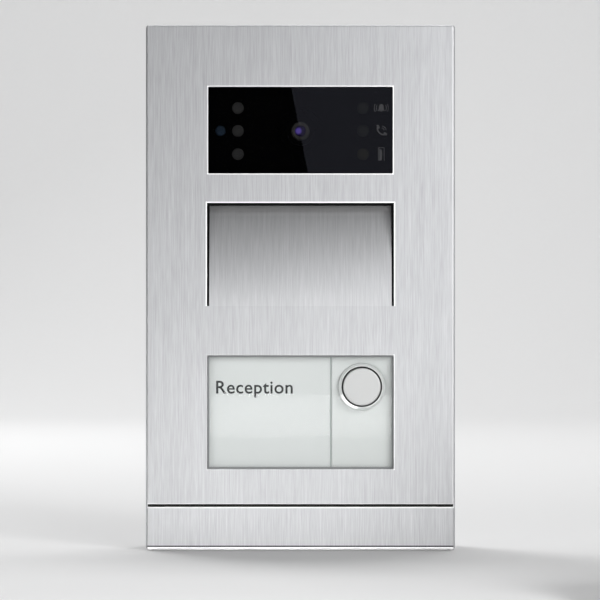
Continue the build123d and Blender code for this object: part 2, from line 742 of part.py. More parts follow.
SPRING_RADIUS = 6.2
SPRING_WIRE = 0.35
SPRING_TURNS = 3.5
spring_low = BOARD[1] + SPRING_WIRE + 0.05
spring_high = 17.0 - SPRING_WIRE - 0.05
spring_height = spring_high - spring_low
with BuildPart() as button_spring:
    with BuildLine() as coil:
        Helix(
            pitch=spring_height / SPRING_TURNS,
            height=spring_height,
            radius=SPRING_RADIUS,
            center=(BUTTON_X, -spring_low, BUTTON_Z),
            direction=(0, -1, 0),
        )
    with BuildSketch(Plane(origin=coil.line @ 0, z_dir=coil.line % 0)):
        Circle(SPRING_WIRE)
    sweep(is_frenet=True)
finish(button_spring, "button_spring")

with BuildPart() as tactile_switch:
    with BuildSketch(front(BOARD[1])):
        with Locations((BUTTON_X, BUTTON_Z)):
            Rectangle(6.0, 6.0)
    extrude(amount=3.4)
    with BuildSketch(front(BOARD[1] + 3.4)):
        with Locations((BUTTON_X, BUTTON_Z)):
            Circle(1.85)
    extrude(amount=-2.9, mode=Mode.SUBTRACT)
finish(tactile_switch, "tactile_switch")

with BuildPart() as switch_plunger:
    with BuildSketch(front(13.6)):
        with Locations((BUTTON_X, BUTTON_Z)):
            Circle(1.7)
    extrude(amount=STEM[0] - 13.6)
finish(switch_plunger, "switch_plunger")

# =====================================================================================================
# Ribbon cables between the modules
# =====================================================================================================
RIBBON_THICK = 0.9
RIBBON_REACH = 57.0
SOCKET_OUT = 50.5


RIBBON_DEPTH = (8.4, 14.4)
# each ribbon leaves one plug, runs down the side channel and enters the next
with BuildPart() as ribbon_cables:
    for upper, lower in JUMPER_Z:
        with BuildSketch(front(RIBBON_DEPTH[0])):
            with BuildLine():
                FilletPolyline(
                    (SOCKET_OUT, upper),
                    (RIBBON_REACH, upper),
                    (RIBBON_REACH, lower),
                    (SOCKET_OUT, lower),
                    radius=5.0,
                )
            trace(line_width=RIBBON_THICK)
        extrude(amount=span(RIBBON_DEPTH))
finish(ribbon_cables, "ribbon_cables")

with BuildPart() as ribbon_plugs:
    with BuildSketch(front(RIBBON_DEPTH[0] - 0.8)):
        with Locations(*[(middle((MODULE_HALF, SOCKET_OUT)), z) for pair in JUMPER_Z for z in pair]):
            Rectangle(SOCKET_OUT - MODULE_HALF, 12.0)
    extrude(amount=span(RIBBON_DEPTH) + 1.6)
    fillet(ribbon_plugs.edges().filter_by(Axis.Y), 0.5)
finish(ribbon_plugs, "ribbon_plugs")

# =====================================================================================================
# Terminal board, dials and cable clamp block
# =====================================================================================================
board_x = TERMINAL_BOARD[0:2]
board_z = TERMINAL_BOARD[2:4]
with BuildPart() as terminal_board:
    with BuildSketch(front(7.0)):
        with Locations((middle(board_x), middle(board_z))):
            Rectangle(span(board_x), span(board_z))
    extrude(amount=TERMINAL_FRONT - 7.0)
finish(terminal_board, "terminal_board")

TERMINAL_X = 0.5
TERMINAL_Z = (-106.0, -94.0)
TERMINAL_TOP = 18.6
pole_x = [TERMINAL_X + POLE_PITCH * (i + 0.5) for i in range(POLES)]
with BuildPart() as terminal_block:
    with BuildSketch(front(TERMINAL_FRONT)):
        with Locations((TERMINAL_X + POLES * POLE_PITCH / 2, middle(TERMINAL_Z))):
            Rectangle(POLES * POLE_PITCH, span(TERMINAL_Z))
    extrude(amount=TERMINAL_TOP - TERMINAL_FRONT)
    chamfer(terminal_block.faces().sort_by(Axis.Y)[0].edges().filter_by(Axis.X), 1.6)
    # screw wells from the front, wire entries from below
    with BuildSketch(front(TERMINAL_TOP)):
        with Locations(*[(x, middle(TERMINAL_Z)) for x in pole_x]):
            Circle(1.9)
    extrude(amount=-3.6, mode=Mode.SUBTRACT)
    with BuildSketch(Plane.XY.offset(TERMINAL_Z[0])):
        with Locations(*[(x, -12.0) for x in pole_x]):
            Rectangle(3.2, 3.2)
    extrude(amount=5.0, mode=Mode.SUBTRACT)
finish(terminal_block, "terminal_block")

with BuildPart() as terminal_screws:
    with BuildSketch(front(TERMINAL_TOP - 3.6)):
        with Locations(*[(x, middle(TERMINAL_Z)) for x in pole_x]):
            Circle(1.7)
    extrude(amount=1.6)
    with BuildSketch(front(TERMINAL_TOP - 2.0)):
        with Locations(*[(x, middle(TERMINAL_Z)) for x in pole_x]):
            Rectangle(3.6, 0.5, rotation=35)
    extrude(amount=-0.6, mode=Mode.SUBTRACT)
finish(terminal_screws, "terminal_screws")

with BuildPart() as dial_bases:
    with BuildSketch(front(TERMINAL_FRONT)):
        with Locations(*[(DIAL_X, z) for z in DIAL_ROWS]):
            Rectangle(9.4, 9.4)
        with Locations(TRIMMER):
            Rectangle(7.0, 7.0)
    extrude(amount=3.6)
    with BuildSketch(front(TERMINAL_FRONT + 3.6)):
        with Locations(*[(DIAL_X, z) for z in DIAL_ROWS]):
            Circle(DIAL_RADIUS + 0.15)
        with Locations(TRIMMER):
            Circle(TRIMMER_RADIUS + 0.15)
    extrude(amount=-2.2, mode=Mode.SUBTRACT)
finish(dial_bases, "dial_bases")


def dial(place, radius, slot_width):
    """A screwdriver-slot rotor with a pointer notch, sunk in its base."""
    with BuildPart() as rotor:
        with BuildSketch(front(TERMINAL_FRONT + 1.6)):
            with Locations(place):
                Circle(radius)
        extrude(amount=2.6)
        with BuildSketch(front(TERMINAL_FRONT + 4.2)):
            with Locations(place):
                Rectangle(2 * radius - 1.4, slot_width)
            with Locations((place[0] + radius - 0.9, place[1])):
                RegularPolygon(1.1, 3)
        extrude(amount=-1.0, mode=Mode.SUBTRACT)
    return rotor


finish(dial((DIAL_X, DIAL_ROWS[0]), DIAL_RADIUS, 0.9), "address_dial_tens")
finish(dial((DIAL_X, DIAL_ROWS[1]), DIAL_RADIUS, 0.9), "address_dial_units")
finish(dial(TRIMMER, TRIMMER_RADIUS, 0.7), "volume_dial")

with BuildPart() as tamper_sensor:
    with BuildSketch(front(TERMINAL_FRONT)):
        with Locations((41.0, -104.5)):
            RectangleRounded(4.0, 8.0, 0.6)
    extrude(amount=3.0)
finish(tamper_sensor, "tamper_sensor")

# =====================================================================================================
# Cover: steel plate with its sound baffle, seals, lock bracket, screws and claws
# =====================================================================================================
baffle_arc_radius = ((BAFFLE_TOP - BAFFLE_SLIT - BAFFLE_BOTTOM) ** 2 + BAFFLE_SINK**2) / (2 * BAFFLE_SINK)
baffle_angle = math.degrees(math.asin((BAFFLE_TOP - BAFFLE_SLIT - BAFFLE_BOTTOM) / baffle_arc_radius))

with BuildPart() as front_plate:
    with BuildSketch(front(plate_rear)):
        with Locations((0, middle((plate_bottom, plate_top)))):
            RectangleRounded(2 * plate_half, plate_top - plate_bottom, 0.4)
    extrude(amount=SHEET)
    fillet(front_plate.faces().sort_by(Axis.Y)[0].edges(), 0.3)
    with BuildSketch(front(plate_rear)):
        with Locations((0, CAMERA_Z)):
            RectangleRounded(*CAMERA_OPENING, 0.5)
        with Locations((0, NAME_Z)):
            RectangleRounded(*NAME_OPENING, 0.5)
        with Locations((0, middle((BAFFLE_BOTTOM, BAFFLE_TOP)))):
            Rectangle(2 * BAFFLE_HALF, BAFFLE_TOP - BAFFLE_BOTTOM)
    extrude(amount=SHEET, mode=Mode.SUBTRACT)
    opening_edges = (
        front_plate.faces().sort_by(Axis.Y)[0].inner_wires().sort_by(Axis.Z)[0].edges()
        + front_plate.faces().sort_by(Axis.Y)[0].inner_wires().sort_by(Axis.Z)[-1].edges()
    )
    chamfer(opening_edges, 0.15)
    # the baffle: the tongue between the slits, bent back in one smooth arc
    with BuildSketch(Plane.YZ.offset(-(BAFFLE_HALF - BAFFLE_SLIT))):
        with BuildLine():
            outer_arc = JernArc((-DEPTH, BAFFLE_BOTTOM), (0, 1), baffle_arc_radius, -baffle_angle)
            inner_arc = JernArc((-plate_rear, BAFFLE_BOTTOM), (0, 1), baffle_arc_radius - SHEET, -baffle_angle)
            Line(outer_arc @ 1, inner_arc @ 1)
            Line(outer_arc @ 0, inner_arc @ 0)
        make_face()
    extrude(amount=2 * (BAFFLE_HALF - BAFFLE_SLIT))
finish(front_plate, "front_plate")


# flat rubber frames stuck to the back of the plate round both windows
with BuildPart() as window_seals:
    with BuildSketch(front(plate_rear - SEAL + GAP / 2)):
        for opening, z in ((CAMERA_OPENING, CAMERA_Z), (NAME_OPENING, NAME_Z)):
            with Locations((0, z)):
                Rectangle(opening[0] + 4.4, opening[1] + 4.4)
                Rectangle(opening[0] + 0.6, opening[1] + 0.6, mode=Mode.SUBTRACT)
    extrude(amount=SEAL - GAP / 2)
finish(window_seals, "window_seals")

SEAL_INSET = 1.3
with BuildPart() as cover_seal:
    seal_low = plate_bottom + 0.5
    with BuildSketch(front(plate_rear - SEAL)):
        with Locations((0, middle((seal_low, plate_top - 0.4)))):
            Rectangle(2 * (plate_half - 0.4), plate_top - 0.4 - seal_low)
        with Locations((0, middle((seal_low - 1, plate_top - 0.4 - SEAL_INSET)))):
            Rectangle(
                2 * (plate_half - 0.4 - SEAL_INSET), plate_top - 0.4 - SEAL_INSET - seal_low + 1, mode=Mode.SUBTRACT
            )
    extrude(amount=SEAL)
finish(cover_seal, "cover_seal")

BRACKET_EDGE = 57.5
LOCK_BRACKET = (25.4, 26.9)
with BuildPart() as lock_bracket:
    with BuildSketch(front(LOCK_BRACKET[0])):
        with Locations((0, middle((-111.0, -86.0)))):
            Rectangle(2 * BRACKET_EDGE, 25.0)
        # lightening slot, so that the wiring can be seen with the strip off
        with Locations((0, -102.5)):
            SlotOverall(78.0, 9.0, mode=Mode.SUBTRACT)
    extrude(amount=span(LOCK_BRACKET))
    # joggled up to the plate, where it is welded
    with BuildSketch(front(LOCK_BRACKET[0])):
        with Locations((0, -89.5)):
            Rectangle(2 * BRACKET_EDGE, 7.0)
    extrude(amount=plate_rear - LOCK_BRACKET[0])
    with Locations(
        *[Location((x, -LOCK_BRACKET[1], LOCK_Z), (90, 0, 0)) for x in (-LOCK_X, LOCK_X)]
    ):
        CounterSinkHole(LOCK_SCREW_RADIUS + 0.15, 2.95, 5.0, 90)
finish(lock_bracket, "lock_bracket")

LOCK_SCREW_TIP = 18.0
with BuildPart() as lock_screws:
    for x in (-LOCK_X, LOCK_X):
        # half profile of a countersunk screw, turned about its own axis
        with BuildSketch(Plane.XY.offset(LOCK_Z)):
            with BuildLine():
                Polyline(
                    (x, -LOCK_BRACKET[1] + 0.1),
                    (x + 2.7, -LOCK_BRACKET[1] + 0.1),
                    (x + LOCK_SCREW_RADIUS, -LOCK_BRACKET[1] + 1.3),
                    (x + LOCK_SCREW_RADIUS, -LOCK_SCREW_TIP - 0.5),
                    (x + LOCK_SCREW_RADIUS - 0.5, -LOCK_SCREW_TIP),
                    (x, -LOCK_SCREW_TIP),
                    close=True,
                )
            make_face()
        revolve(axis=Axis((x, 0, LOCK_Z), (0, 1, 0)))
    with BuildSketch(front(LOCK_BRACKET[1])):
        with Locations((-LOCK_X, LOCK_Z), (LOCK_X, LOCK_Z)):
            RegularPolygon(1.15, 6)
    extrude(amount=-1.1, mode=Mode.SUBTRACT)
finish(lock_screws, "lock_screws")

with BuildPart() as hinge_claws:
    for x in (-CLAW_X, CLAW_X):
        with BuildSketch(Plane.YZ.offset(x - CLAW_WIDTH / 2)):
            with BuildLine():
                # angles run from straight down below the hinge line towards the wall
                outer = CenterArc((-HINGE_DEPTH, HINGE_Z), CLAW_RADII[1], 270, CLAW_SWEEP)
                inner = CenterArc((-HINGE_DEPTH, HINGE_Z), CLAW_RADII[0], 270, CLAW_SWEEP)
                Line(outer @ 0, inner @ 0)
                Line(outer @ 1, inner @ 1)
            make_face()
        extrude(amount=CLAW_WIDTH)
finish(hinge_claws, "hinge_claws")

with BuildPart() as tamper_magnet:
    with BuildSketch(front(LOCK_BRACKET[0] - 2.5)):
        with Locations((45.0, -108.0)):
            Circle(2.0)
    extrude(amount=2.5)
finish(tamper_magnet, "tamper_magnet")

# =====================================================================================================
# Closing strip
# =====================================================================================================
STRIP_REAR = plate_rear + 0.1
HOOK_X = (58.0, 59.4)
HOOK_TOE = 56.0
HOOK_Z = (-110.6, -98.0)
HOOK_REAR = 24.0
with BuildPart() as end_strip:
    with BuildSketch(front(STRIP_REAR)):
        with Locations((0, middle((strip_bottom, strip_top)))):
            RectangleRounded(2 * plate_half, STRIP_HEIGHT, 0.4)
    extrude(amount=DEPTH - STRIP_REAR)
    fillet(end_strip.faces().sort_by(Axis.Y)[0].edges(), 0.3)
    # lip that closes the bottom of the housing
    with BuildSketch(front(NOTCH_DEPTH + 0.3)):
        with Locations((0, strip_bottom + 0.8)):
            Rectangle(2 * (inner_half - 0.4), 1.6)
    extrude(amount=STRIP_REAR - NOTCH_DEPTH - 0.3)
    # hooks that slide in behind the lock bracket
    for side in (-1, 1):
        with BuildSketch(front(HOOK_REAR)):
            with Locations((side * middle(HOOK_X), middle(HOOK_Z))):
                Rectangle(span(HOOK_X), span(HOOK_Z))
        extrude(amount=STRIP_REAR - HOOK_REAR)
        with BuildSketch(front(HOOK_REAR)):
            with Locations((side * middle((HOOK_TOE, HOOK_X[1])), middle(HOOK_Z))):
                Rectangle(HOOK_X[1] - HOOK_TOE, span(HOOK_Z))
        extrude(amount=1.2)
finish(end_strip, "end_strip")

print("plate bottom", round(plate_bottom, 2), "strip top", round(strip_top, 2))
print("baffle arc radius", round(baffle_arc_radius, 1), "angle", round(baffle_angle, 1))
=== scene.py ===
"""Door intercom panel: finishes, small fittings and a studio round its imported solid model.

Lengths are in metres. +X is right, +Z is up and the front faces -Y, so a distance from the wall
is -Y. The solid parts are already in place; this file gives them their finishes and adds the
fittings that are too fine for them.
"""

import json
import math

import bmesh
import bpy
from bpy.props import FloatProperty, FloatVectorProperty, PointerProperty, StringProperty
from mathutils import Matrix, Vector


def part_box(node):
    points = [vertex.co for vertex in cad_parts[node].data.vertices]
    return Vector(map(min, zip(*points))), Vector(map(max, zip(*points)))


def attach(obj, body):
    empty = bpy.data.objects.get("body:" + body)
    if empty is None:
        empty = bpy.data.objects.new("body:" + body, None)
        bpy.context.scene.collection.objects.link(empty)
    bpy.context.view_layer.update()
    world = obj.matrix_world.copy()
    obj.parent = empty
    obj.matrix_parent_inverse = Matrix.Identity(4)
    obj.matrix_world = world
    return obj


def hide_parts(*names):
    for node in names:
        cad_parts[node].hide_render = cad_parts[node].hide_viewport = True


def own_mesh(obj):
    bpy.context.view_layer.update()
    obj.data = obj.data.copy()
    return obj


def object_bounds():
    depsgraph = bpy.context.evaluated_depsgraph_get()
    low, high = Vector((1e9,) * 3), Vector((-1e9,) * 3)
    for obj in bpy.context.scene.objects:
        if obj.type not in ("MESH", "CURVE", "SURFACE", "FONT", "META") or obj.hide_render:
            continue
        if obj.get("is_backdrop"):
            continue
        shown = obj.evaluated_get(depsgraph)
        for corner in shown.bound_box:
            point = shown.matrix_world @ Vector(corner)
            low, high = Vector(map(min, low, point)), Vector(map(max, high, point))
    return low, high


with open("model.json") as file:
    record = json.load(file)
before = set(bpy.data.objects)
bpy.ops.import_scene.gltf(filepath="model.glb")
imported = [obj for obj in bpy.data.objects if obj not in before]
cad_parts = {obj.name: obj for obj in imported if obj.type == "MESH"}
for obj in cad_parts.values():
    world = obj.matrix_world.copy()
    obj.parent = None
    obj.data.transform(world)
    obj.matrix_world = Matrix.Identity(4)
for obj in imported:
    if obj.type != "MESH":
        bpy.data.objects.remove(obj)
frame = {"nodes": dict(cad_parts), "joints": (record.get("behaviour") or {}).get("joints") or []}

bl_info = {
    "name": "Door Intercom Panel",
    "version": (1, 0, 0),
    "blender": (4, 5, 0),
    "location": "3D View > Sidebar > Intercom",
    "description": "Finishes, fittings and a studio for a brushed steel door intercom panel",
    "category": "Object",
}

MM = 0.001


# ---- where things are --------------------------------------------------------------------------


def middle_of(node):
    """The middle of a solid part's box."""
    low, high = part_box(node)
    return (low + high) / 2


def front_of(node):
    """How far a solid part's front is from the wall."""
    return -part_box(node)[0].y


def back_of(node):
    """How far a solid part's back is from the wall."""
    return -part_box(node)[1].y


def joint_point(name):
    """A point on a joint's axis."""
    return next(Vector(joint["pos_m"]) for joint in frame["joints"] if joint["name"] == name)


# openings in the front plate, as (low x, low z, high x, high z)
CAMERA_OPENING = (-0.0402, 0.0498, 0.0402, 0.0875)
BAFFLE_OPENING = (-0.0408, -0.0081, 0.0408, 0.0369)
BAFFLE_TONGUE = (-0.0398, -0.0081, 0.0398, 0.0359)
NAME_OPENING = (-0.0406, -0.0791, 0.0406, -0.0297)


# ---- shader expressions ------------------------------------------------------------------------


def maths(operation, swapped=False):
    """An operator of Signal that adds a Math node. A swapped one puts the signal second."""

    def act(self, other=0.0):
        node = self.tree.nodes.new("ShaderNodeMath")
        node.operation = operation
        feed(self.tree, node, {0: other, 1: self} if swapped else {0: self, 1: other})
        return Signal(self.tree, node.outputs[0])

    return act


class Signal:
    """A value that leaves a node. Python's operators on it add Math nodes."""

    def __init__(self, tree, socket):
        self.tree = tree
        self.socket = socket

    __add__ = maths("ADD")
    __radd__ = maths("ADD", swapped=True)
    __sub__ = maths("SUBTRACT")
    __rsub__ = maths("SUBTRACT", swapped=True)
    __mul__ = maths("MULTIPLY")
    __rmul__ = maths("MULTIPLY", swapped=True)
    __truediv__ = maths("DIVIDE")
    __pow__ = maths("POWER")
    __mod__ = maths("FLOORED_MODULO")
    __gt__ = maths("GREATER_THAN")
    __lt__ = maths("LESS_THAN")
    __abs__ = maths("ABSOLUTE")
    at_least = maths("MAXIMUM")


def feed(tree, node, values):
    """Sets a node's sockets, by name or number, to values or links."""
    for key, value in values.items():
        if isinstance(value, Signal):
            tree.links.new(value.socket, node.inputs[key])
        elif node.inputs[key].type == "RGBA":
            node.inputs[key].default_value = (*value[:3], 1.0)
        else:
            node.inputs[key].default_value = value


class Finish:
    """A material under way: its node tree, its shader and where its surface lies."""

    def __init__(self, name, shader):
        self.material = bpy.data.materials.new(name)
        self.material.use_nodes = True
        self.tree = self.material.node_tree
        self.shader = self.tree.nodes["Principled BSDF"]
        self.feed(shader)
        self.place = self.node("ShaderNodeTexCoord", output="Object")

    def feed(self, values):
        """Sets or links the shader's own sockets."""
        feed(self.tree, self.shader, values)

    def node(self, kind, settings=None, sockets=None, output=0):
        """Adds a node: its type, its settings, then its sockets' values or links."""
        node = self.tree.nodes.new(kind)
        for key, value in (settings or {}).items():
            if key == "stops":
                set_stops(node.color_ramp.elements, value)
            else:
                setattr(node, key, value)
        feed(self.tree, node, sockets or {})
        return Signal(self.tree, node.outputs[output])

    def scaled(self, size):
        """The surface's place, divided by a size in metres: one for all ways, or one each for X, Y and Z."""
        size = size if isinstance(size, tuple) else (size, size, size)
        return self.node(
            "ShaderNodeVectorMath",
            {"operation": "MULTIPLY"},
            {0: self.place, 1: [1 / length for length in size]},
        )

    def noise(self, size, detail=3.0, harshness=0.5):
        """Cloudy noise whose patches are about this size."""
        return self.node(
            "ShaderNodeTexNoise",
            sockets={"Vector": self.scaled(size), "Scale": 1.0, "Detail": detail, "Roughness": harshness},
        )

    def cells(self, size, feature="F1"):
        """Cells of about this size, as the distance to their middles or edges."""
        return self.node(
            "ShaderNodeTexVoronoi",
            {"feature": feature, "distance": "EUCLIDEAN"},
            {"Vector": self.scaled(size), "Scale": 1.0},
            "Distance",
        )

    def along(self, axis):
        """The surface's place along X, Y or Z, in metres."""
        return self.node("ShaderNodeSeparateXYZ", sockets={0: self.place}, output=axis)

    def ramp(self, signal, *stops):
        """A grey level for each (position, level), joined smoothly."""
        return self.node("ShaderNodeValToRGB", {"stops": stops}, {"Fac": signal})

    def blend(self, share, first, second):
        """The second colour over the first, by a share from 0 to 1."""
        return self.node(
            "ShaderNodeMix", {"data_type": "RGBA"}, {0: share, 6: first, 7: second}, output=2
        )

    def from_axis(self, centre):
        """How far the surface is from a line along Y through this point."""
        x = self.along("X") - centre.x
        z = self.along("Z") - centre.z
        return (x * x + z * z) ** 0.5

    def rings(self, centre, width, detail):
        """Fine turned rings about a line along Y through this point."""
        return self.node(
            "ShaderNodeTexNoise",
            {"noise_dimensions": "1D"},
            {"W": self.from_axis(centre) / width, "Scale": 1.0, "Detail": detail},
        )

    def outside(self, opening):
        """How far the surface is outside an opening."""
        left, low, right, top = opening
        aside = abs(self.along("X") - (left + right) / 2) - (right - left) / 2
        above = abs(self.along("Z") - (low + top) / 2) - (top - low) / 2
        return aside.at_least(above)

    def shades(self, share, colour, spread):
        """The colour, from darker to lighter by the spread as the share goes from 0 to 1."""
        dark = [part * (1 - spread) for part in colour]
        light = [min(1.0, part * (1 + spread)) for part in colour]
        return self.blend(share, dark, light)

    def bump(self, height, rise, strength=1.0):
        """A normal from a height of 0 to 1, where 1 stands this many metres up."""
        return self.node(
            "ShaderNodeBump", sockets={"Strength": strength, "Distance": rise, "Height": height}, output="Normal"
        )

    def surface(self, colour, roughness, normal, more=None):
        """Feeds what varies over the surface, and gives the finished material."""
        self.feed({"Base Color": colour, "Roughness": roughness, "Normal": normal, **(more or {})})
        return self.material


def set_stops(elements, stops):
    """Gives a ramp its (position, grey level) stops."""
    while len(elements) < len(stops):
        elements.new(1.0)
    for element, (position, level) in zip(elements, stops):
        element.position = position
        element.color = (level, level, level, 1.0)


def colours():
    """The colours that a user may change."""
    return bpy.context.scene.intercom_colours


def finish_of(name, maker, *settings):
    """A finish that is made the first time that a piece asks for it."""
    name += "_finish"

    def finish():
        return bpy.data.materials.get(name) or maker(name, *settings)

    return finish


def made_once(maker):
    """The same, for a maker that is named after its finish."""
    return finish_of(maker.__name__, maker)


# ---- metals ------------------------------------------------------------------------------------


def brushed(name, colour):
    """Stainless sheet with an upright grain: hairlines, short streaks and long soft bands."""
    sizes = bpy.context.scene.intercom_sizes
    width, length = sizes.grain_width, sizes.grain_length
    finish = Finish(name, {"Metallic": 1.0})
    through = 0.2
    hair = finish.noise((width * 0.3, through, length * 0.9), 2.0)
    streak = finish.noise((width, through, length), 2.0, 0.55)
    long_streak = finish.noise((width * 1.4, through, length * 5), 1.0)
    band = finish.noise((width * 5, through, length * 6), 2.0)
    smudge = finish.noise((0.03, through, 0.045), 3.0, 0.6)
    grain = hair * 0.2 + streak * 0.45 + long_streak * 0.22 + band * 0.13
    steel = finish.shades(finish.ramp(grain, (0.25, 0.0), (0.75, 1.0)), colour, sizes.grain_contrast)
    finish.feed(
        {
            "Roughness": 0.38 + 0.05 * hair + 0.05 * smudge,
            "Normal": finish.bump(hair * 0.5 + streak * 0.5, 0.004 * MM, 0.6),
        }
    )
    return finish, steel


def polished_line(distance, width):
    """1 on the narrow polished line along a cut edge, where a highlight is painted, up to this width from it."""
    return (distance > 0.02 * MM) * (distance < width)


def cut_wall(distance):
    """1 on the walls of a cut, which lie at no distance from its outline."""
    return abs(distance) < 0.025 * MM


@made_once
def brushed_plate(name):
    """The front plate, its cut edges broken and polished with painted highlights, the baffle tongue's top painted
    lighter and the cut walls painted black for shade.
    """
    finish, steel = brushed(name, colours().plate)
    line = bpy.context.scene.intercom_sizes.polished_line
    low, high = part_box("front_plate")
    x, y, z = finish.along("X"), finish.along("Y"), finish.along("Z")
    window, baffle, tongue = (finish.outside(cut) for cut in (CAMERA_OPENING, BAFFLE_OPENING, BAFFLE_TONGUE))
    # painted highlight along the name opening: faint all round, stronger on its right side
    name_side_highlight = polished_line(finish.outside(NAME_OPENING), line) * (0.1 + 0.4 * (x > NAME_OPENING[2]))
    # painted light: the baffle tongue's top is lighter, against the shade under the opening's top edge
    head = (tongue < 0.0) * finish.ramp((z - 0.031) / 0.005, (0.0, 0.05), (0.45, 0.25), (1.0, 0.95))
    # painted highlights along the camera and baffle cuts, and along the plate's bottom and right edges
    edge_highlight = polished_line(window, line).at_least(polished_line(baffle, line) * (z > BAFFLE_OPENING[1]))
    edge_highlight = edge_highlight.at_least(name_side_highlight).at_least((z < low.z + line) * 0.4).at_least((x > high.x - line) * 0.4)
    behind_face = y > -0.0287
    # painted shade: the walls of the cuts, behind the face, are near black
    walls = cut_wall(window).at_least(cut_wall(baffle)).at_least(cut_wall(tongue)) * behind_face
    polished = finish.blend(edge_highlight.at_least(head), steel, colours().polished)
    finish.feed({"Base Color": finish.blend(walls, polished, (0.01, 0.01, 0.01))})
    return finish.material


@made_once
def brushed_strip(name):
    """The closing strip: its long edges polished with painted highlights, and a painted dark reflection as a line where
    its foot folds back.
    """
    line = bpy.context.scene.intercom_sizes.polished_line
    finish, steel = brushed(name, colours().strip)
    low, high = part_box("end_strip")
    z = finish.along("Z")
    # painted highlights along the top and bottom edges
    edge_highlight = (z > high.z - line).at_least(z < low.z + line * 1.6)
    # painted dark reflection in the bend where the foot folds back
    dark_fold_reflection = 0.95 * (abs(z - (low.z + line * 2.4)) < line * 0.6)
    steel = finish.blend(dark_fold_reflection, steel, (0.02, 0.02, 0.022))
    finish.feed({"Base Color": finish.blend(edge_highlight, steel, colours().polished)})
    return finish.material


@made_once
def satin_aluminium(name):
    """Anodised casting: a fine blasted skin with ejector pin rings on the back, and a painted highlight along its
    bottom, below the closing strip.
    """
    finish = Finish(name, {"Metallic": 1.0})
    blasted = finish.noise(0.15 * MM, 2.0)
    cloud = finish.noise((0.02, 0.02, 0.03), 3.0)
    x = (finish.along("X") + 0.027) % 0.054 - 0.027
    z = (finish.along("Z") + 0.0285) % 0.057 - 0.0285
    pin = ((x * x + z * z) ** 0.5 / 0.004) < 1.0
    # painted highlight: the housing's bottom, below the closing strip, takes the highlight colour
    foot = finish.along("Z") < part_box("end_strip")[0].z - 0.05 * MM
    return finish.surface(
        finish.blend(foot, finish.shades(cloud, colours().housing, 0.06), colours().polished),
        0.34 + 0.06 * blasted + 0.06 * cloud,
        finish.bump(blasted * 0.2 + pin, 0.02 * MM, 0.5),
    )


@made_once
def button_metal(name):
    """Satin stainless cap: turned circles under a fine blasted skin."""
    finish = Finish(name, {"Metallic": 1.0, "Specular IOR Level": 0.5})
    turned = finish.rings(middle_of("button_cap"), 0.12 * MM, 3.0)
    skin = finish.noise(0.35 * MM, 3.0, 0.6)
    return finish.surface(
        finish.shades(turned * 0.4 + skin * 0.6, colours().button, 0.05),
        0.46 + 0.1 * skin,
        finish.bump(turned * 0.5 + skin * 0.5, 0.003 * MM, 0.5),
    )


@made_once
def barrel_metal(name):
    """The lens barrel: dark anodised aluminium with fine turned rings."""
    finish = Finish(name, {"Metallic": 0.85})
    axis = joint_point("camera_tilt_hinge")
    ring = finish.rings(axis, 0.09 * MM, 2.0)
    return finish.surface(
        finish.blend(
            finish.from_axis(axis) < 4.14 * MM, (0.002, 0.002, 0.002), finish.shades(ring, colours().barrel, 0.25)
        ),
        0.4 + 0.14 * ring,
        finish.bump(ring, 0.004 * MM, 0.5),
    )


@made_once
def zinc_sheet(name):
    """Zinc-plated sheet: grey spangles with a faint blue and straw passivation."""
    finish = Finish(name, {"Metallic": 1.0})
    spangle = finish.cells(2.2 * MM)
    cloud = finish.noise(0.01, 3.0)
    tint = finish.blend(cloud, (0.42, 0.46, 0.52), (0.52, 0.5, 0.42))
    return finish.surface(
        finish.blend(spangle * 0.6, tint, (0.36, 0.38, 0.4)),
        0.34 + 0.16 * spangle + 0.06 * cloud,
        finish.bump(finish.noise(0.1 * MM, 2.0), 0.003 * MM, 0.5),
    )


@made_once
def plated_screw(name):
    """Bright plated steel with turning marks and a tone that varies in soft patches."""
    finish = Finish(name, {"Metallic": 1.0})
    turned = finish.noise((0.08 * MM, 0.6 * MM, 0.08 * MM), 2.0)
    cloud = finish.noise(1.5 * MM, 3.0)
    return finish.surface(
        finish.shades(cloud, (0.56, 0.56, 0.54), 0.14), 0.2 + 0.16 * cloud, finish.bump(turned, 0.003 * MM, 0.5)
    )


# ---- clear and milky acrylic -------------------------------------------------------------------


@made_once
def dark_window(name):
    """Tinted acrylic, polished, with the faintest moulding ripple and a little dust."""
    settings = {"Base Color": colours().window, "Alpha": 0.5, "IOR": 1.49, "Specular IOR Level": 0.7}
    finish = Finish(name, settings)
    dust = finish.ramp(finish.cells(0.9 * MM), (0.0, 1.0), (0.06, 0.0))
    ripple = finish.bump(finish.noise((0.03, 0.03, 0.02), 1.0), 0.0004 * MM, 0.2)
    finish.feed({"Roughness": 0.004 + 0.06 * dust, "Normal": ripple})
    return finish.material


@made_once
def clear_window(name):
    """Clear cover plate: nearly all light passes, with a green cast and light handling marks."""
    finish = Finish(name, {"Base Color": colours().clear, "IOR": 1.49, "Coat Roughness": 0.02})
    marks = finish.ramp(finish.noise((0.4 * MM, 4 * MM, 6 * MM), 4.0, 0.7), (0.55, 0.0), (0.8, 1.0))
    ripple = finish.bump(finish.noise(0.02, 1.0), 0.003 * MM, 0.3)
    finish.feed({"Alpha": 0.07 + 0.01 * marks, "Roughness": 0.03 + 0.12 * marks, "Normal": ripple})
    return finish.material


def milky(name, colour, relief):
    """Light-spreading acrylic or film, a little cloudy. The colour may be the name of a setting."""
    colour = getattr(colours(), colour) if isinstance(colour, str) else colour
    finish = Finish(name, {"Specular IOR Level": 0.35})
    cloud = finish.noise(0.012, 3.0)
    fibre = finish.noise((0.25 * MM, 0.25 * MM, 0.6 * MM), 3.0, 0.65)
    return finish.surface(
        finish.shades(cloud * 0.6 + fibre * 0.4, colour, 0.02), 0.42 + 0.14 * fibre, finish.bump(fibre, relief, 0.4)
    )


label_film = finish_of("label_film", milky, "label", 0.006 * MM)
diffuser = finish_of("diffuser", milky, "diffuser", 0.003 * MM)
light_guide_acrylic = finish_of("light_guide_acrylic", milky, (0.72, 0.76, 0.76), 0.004 * MM)


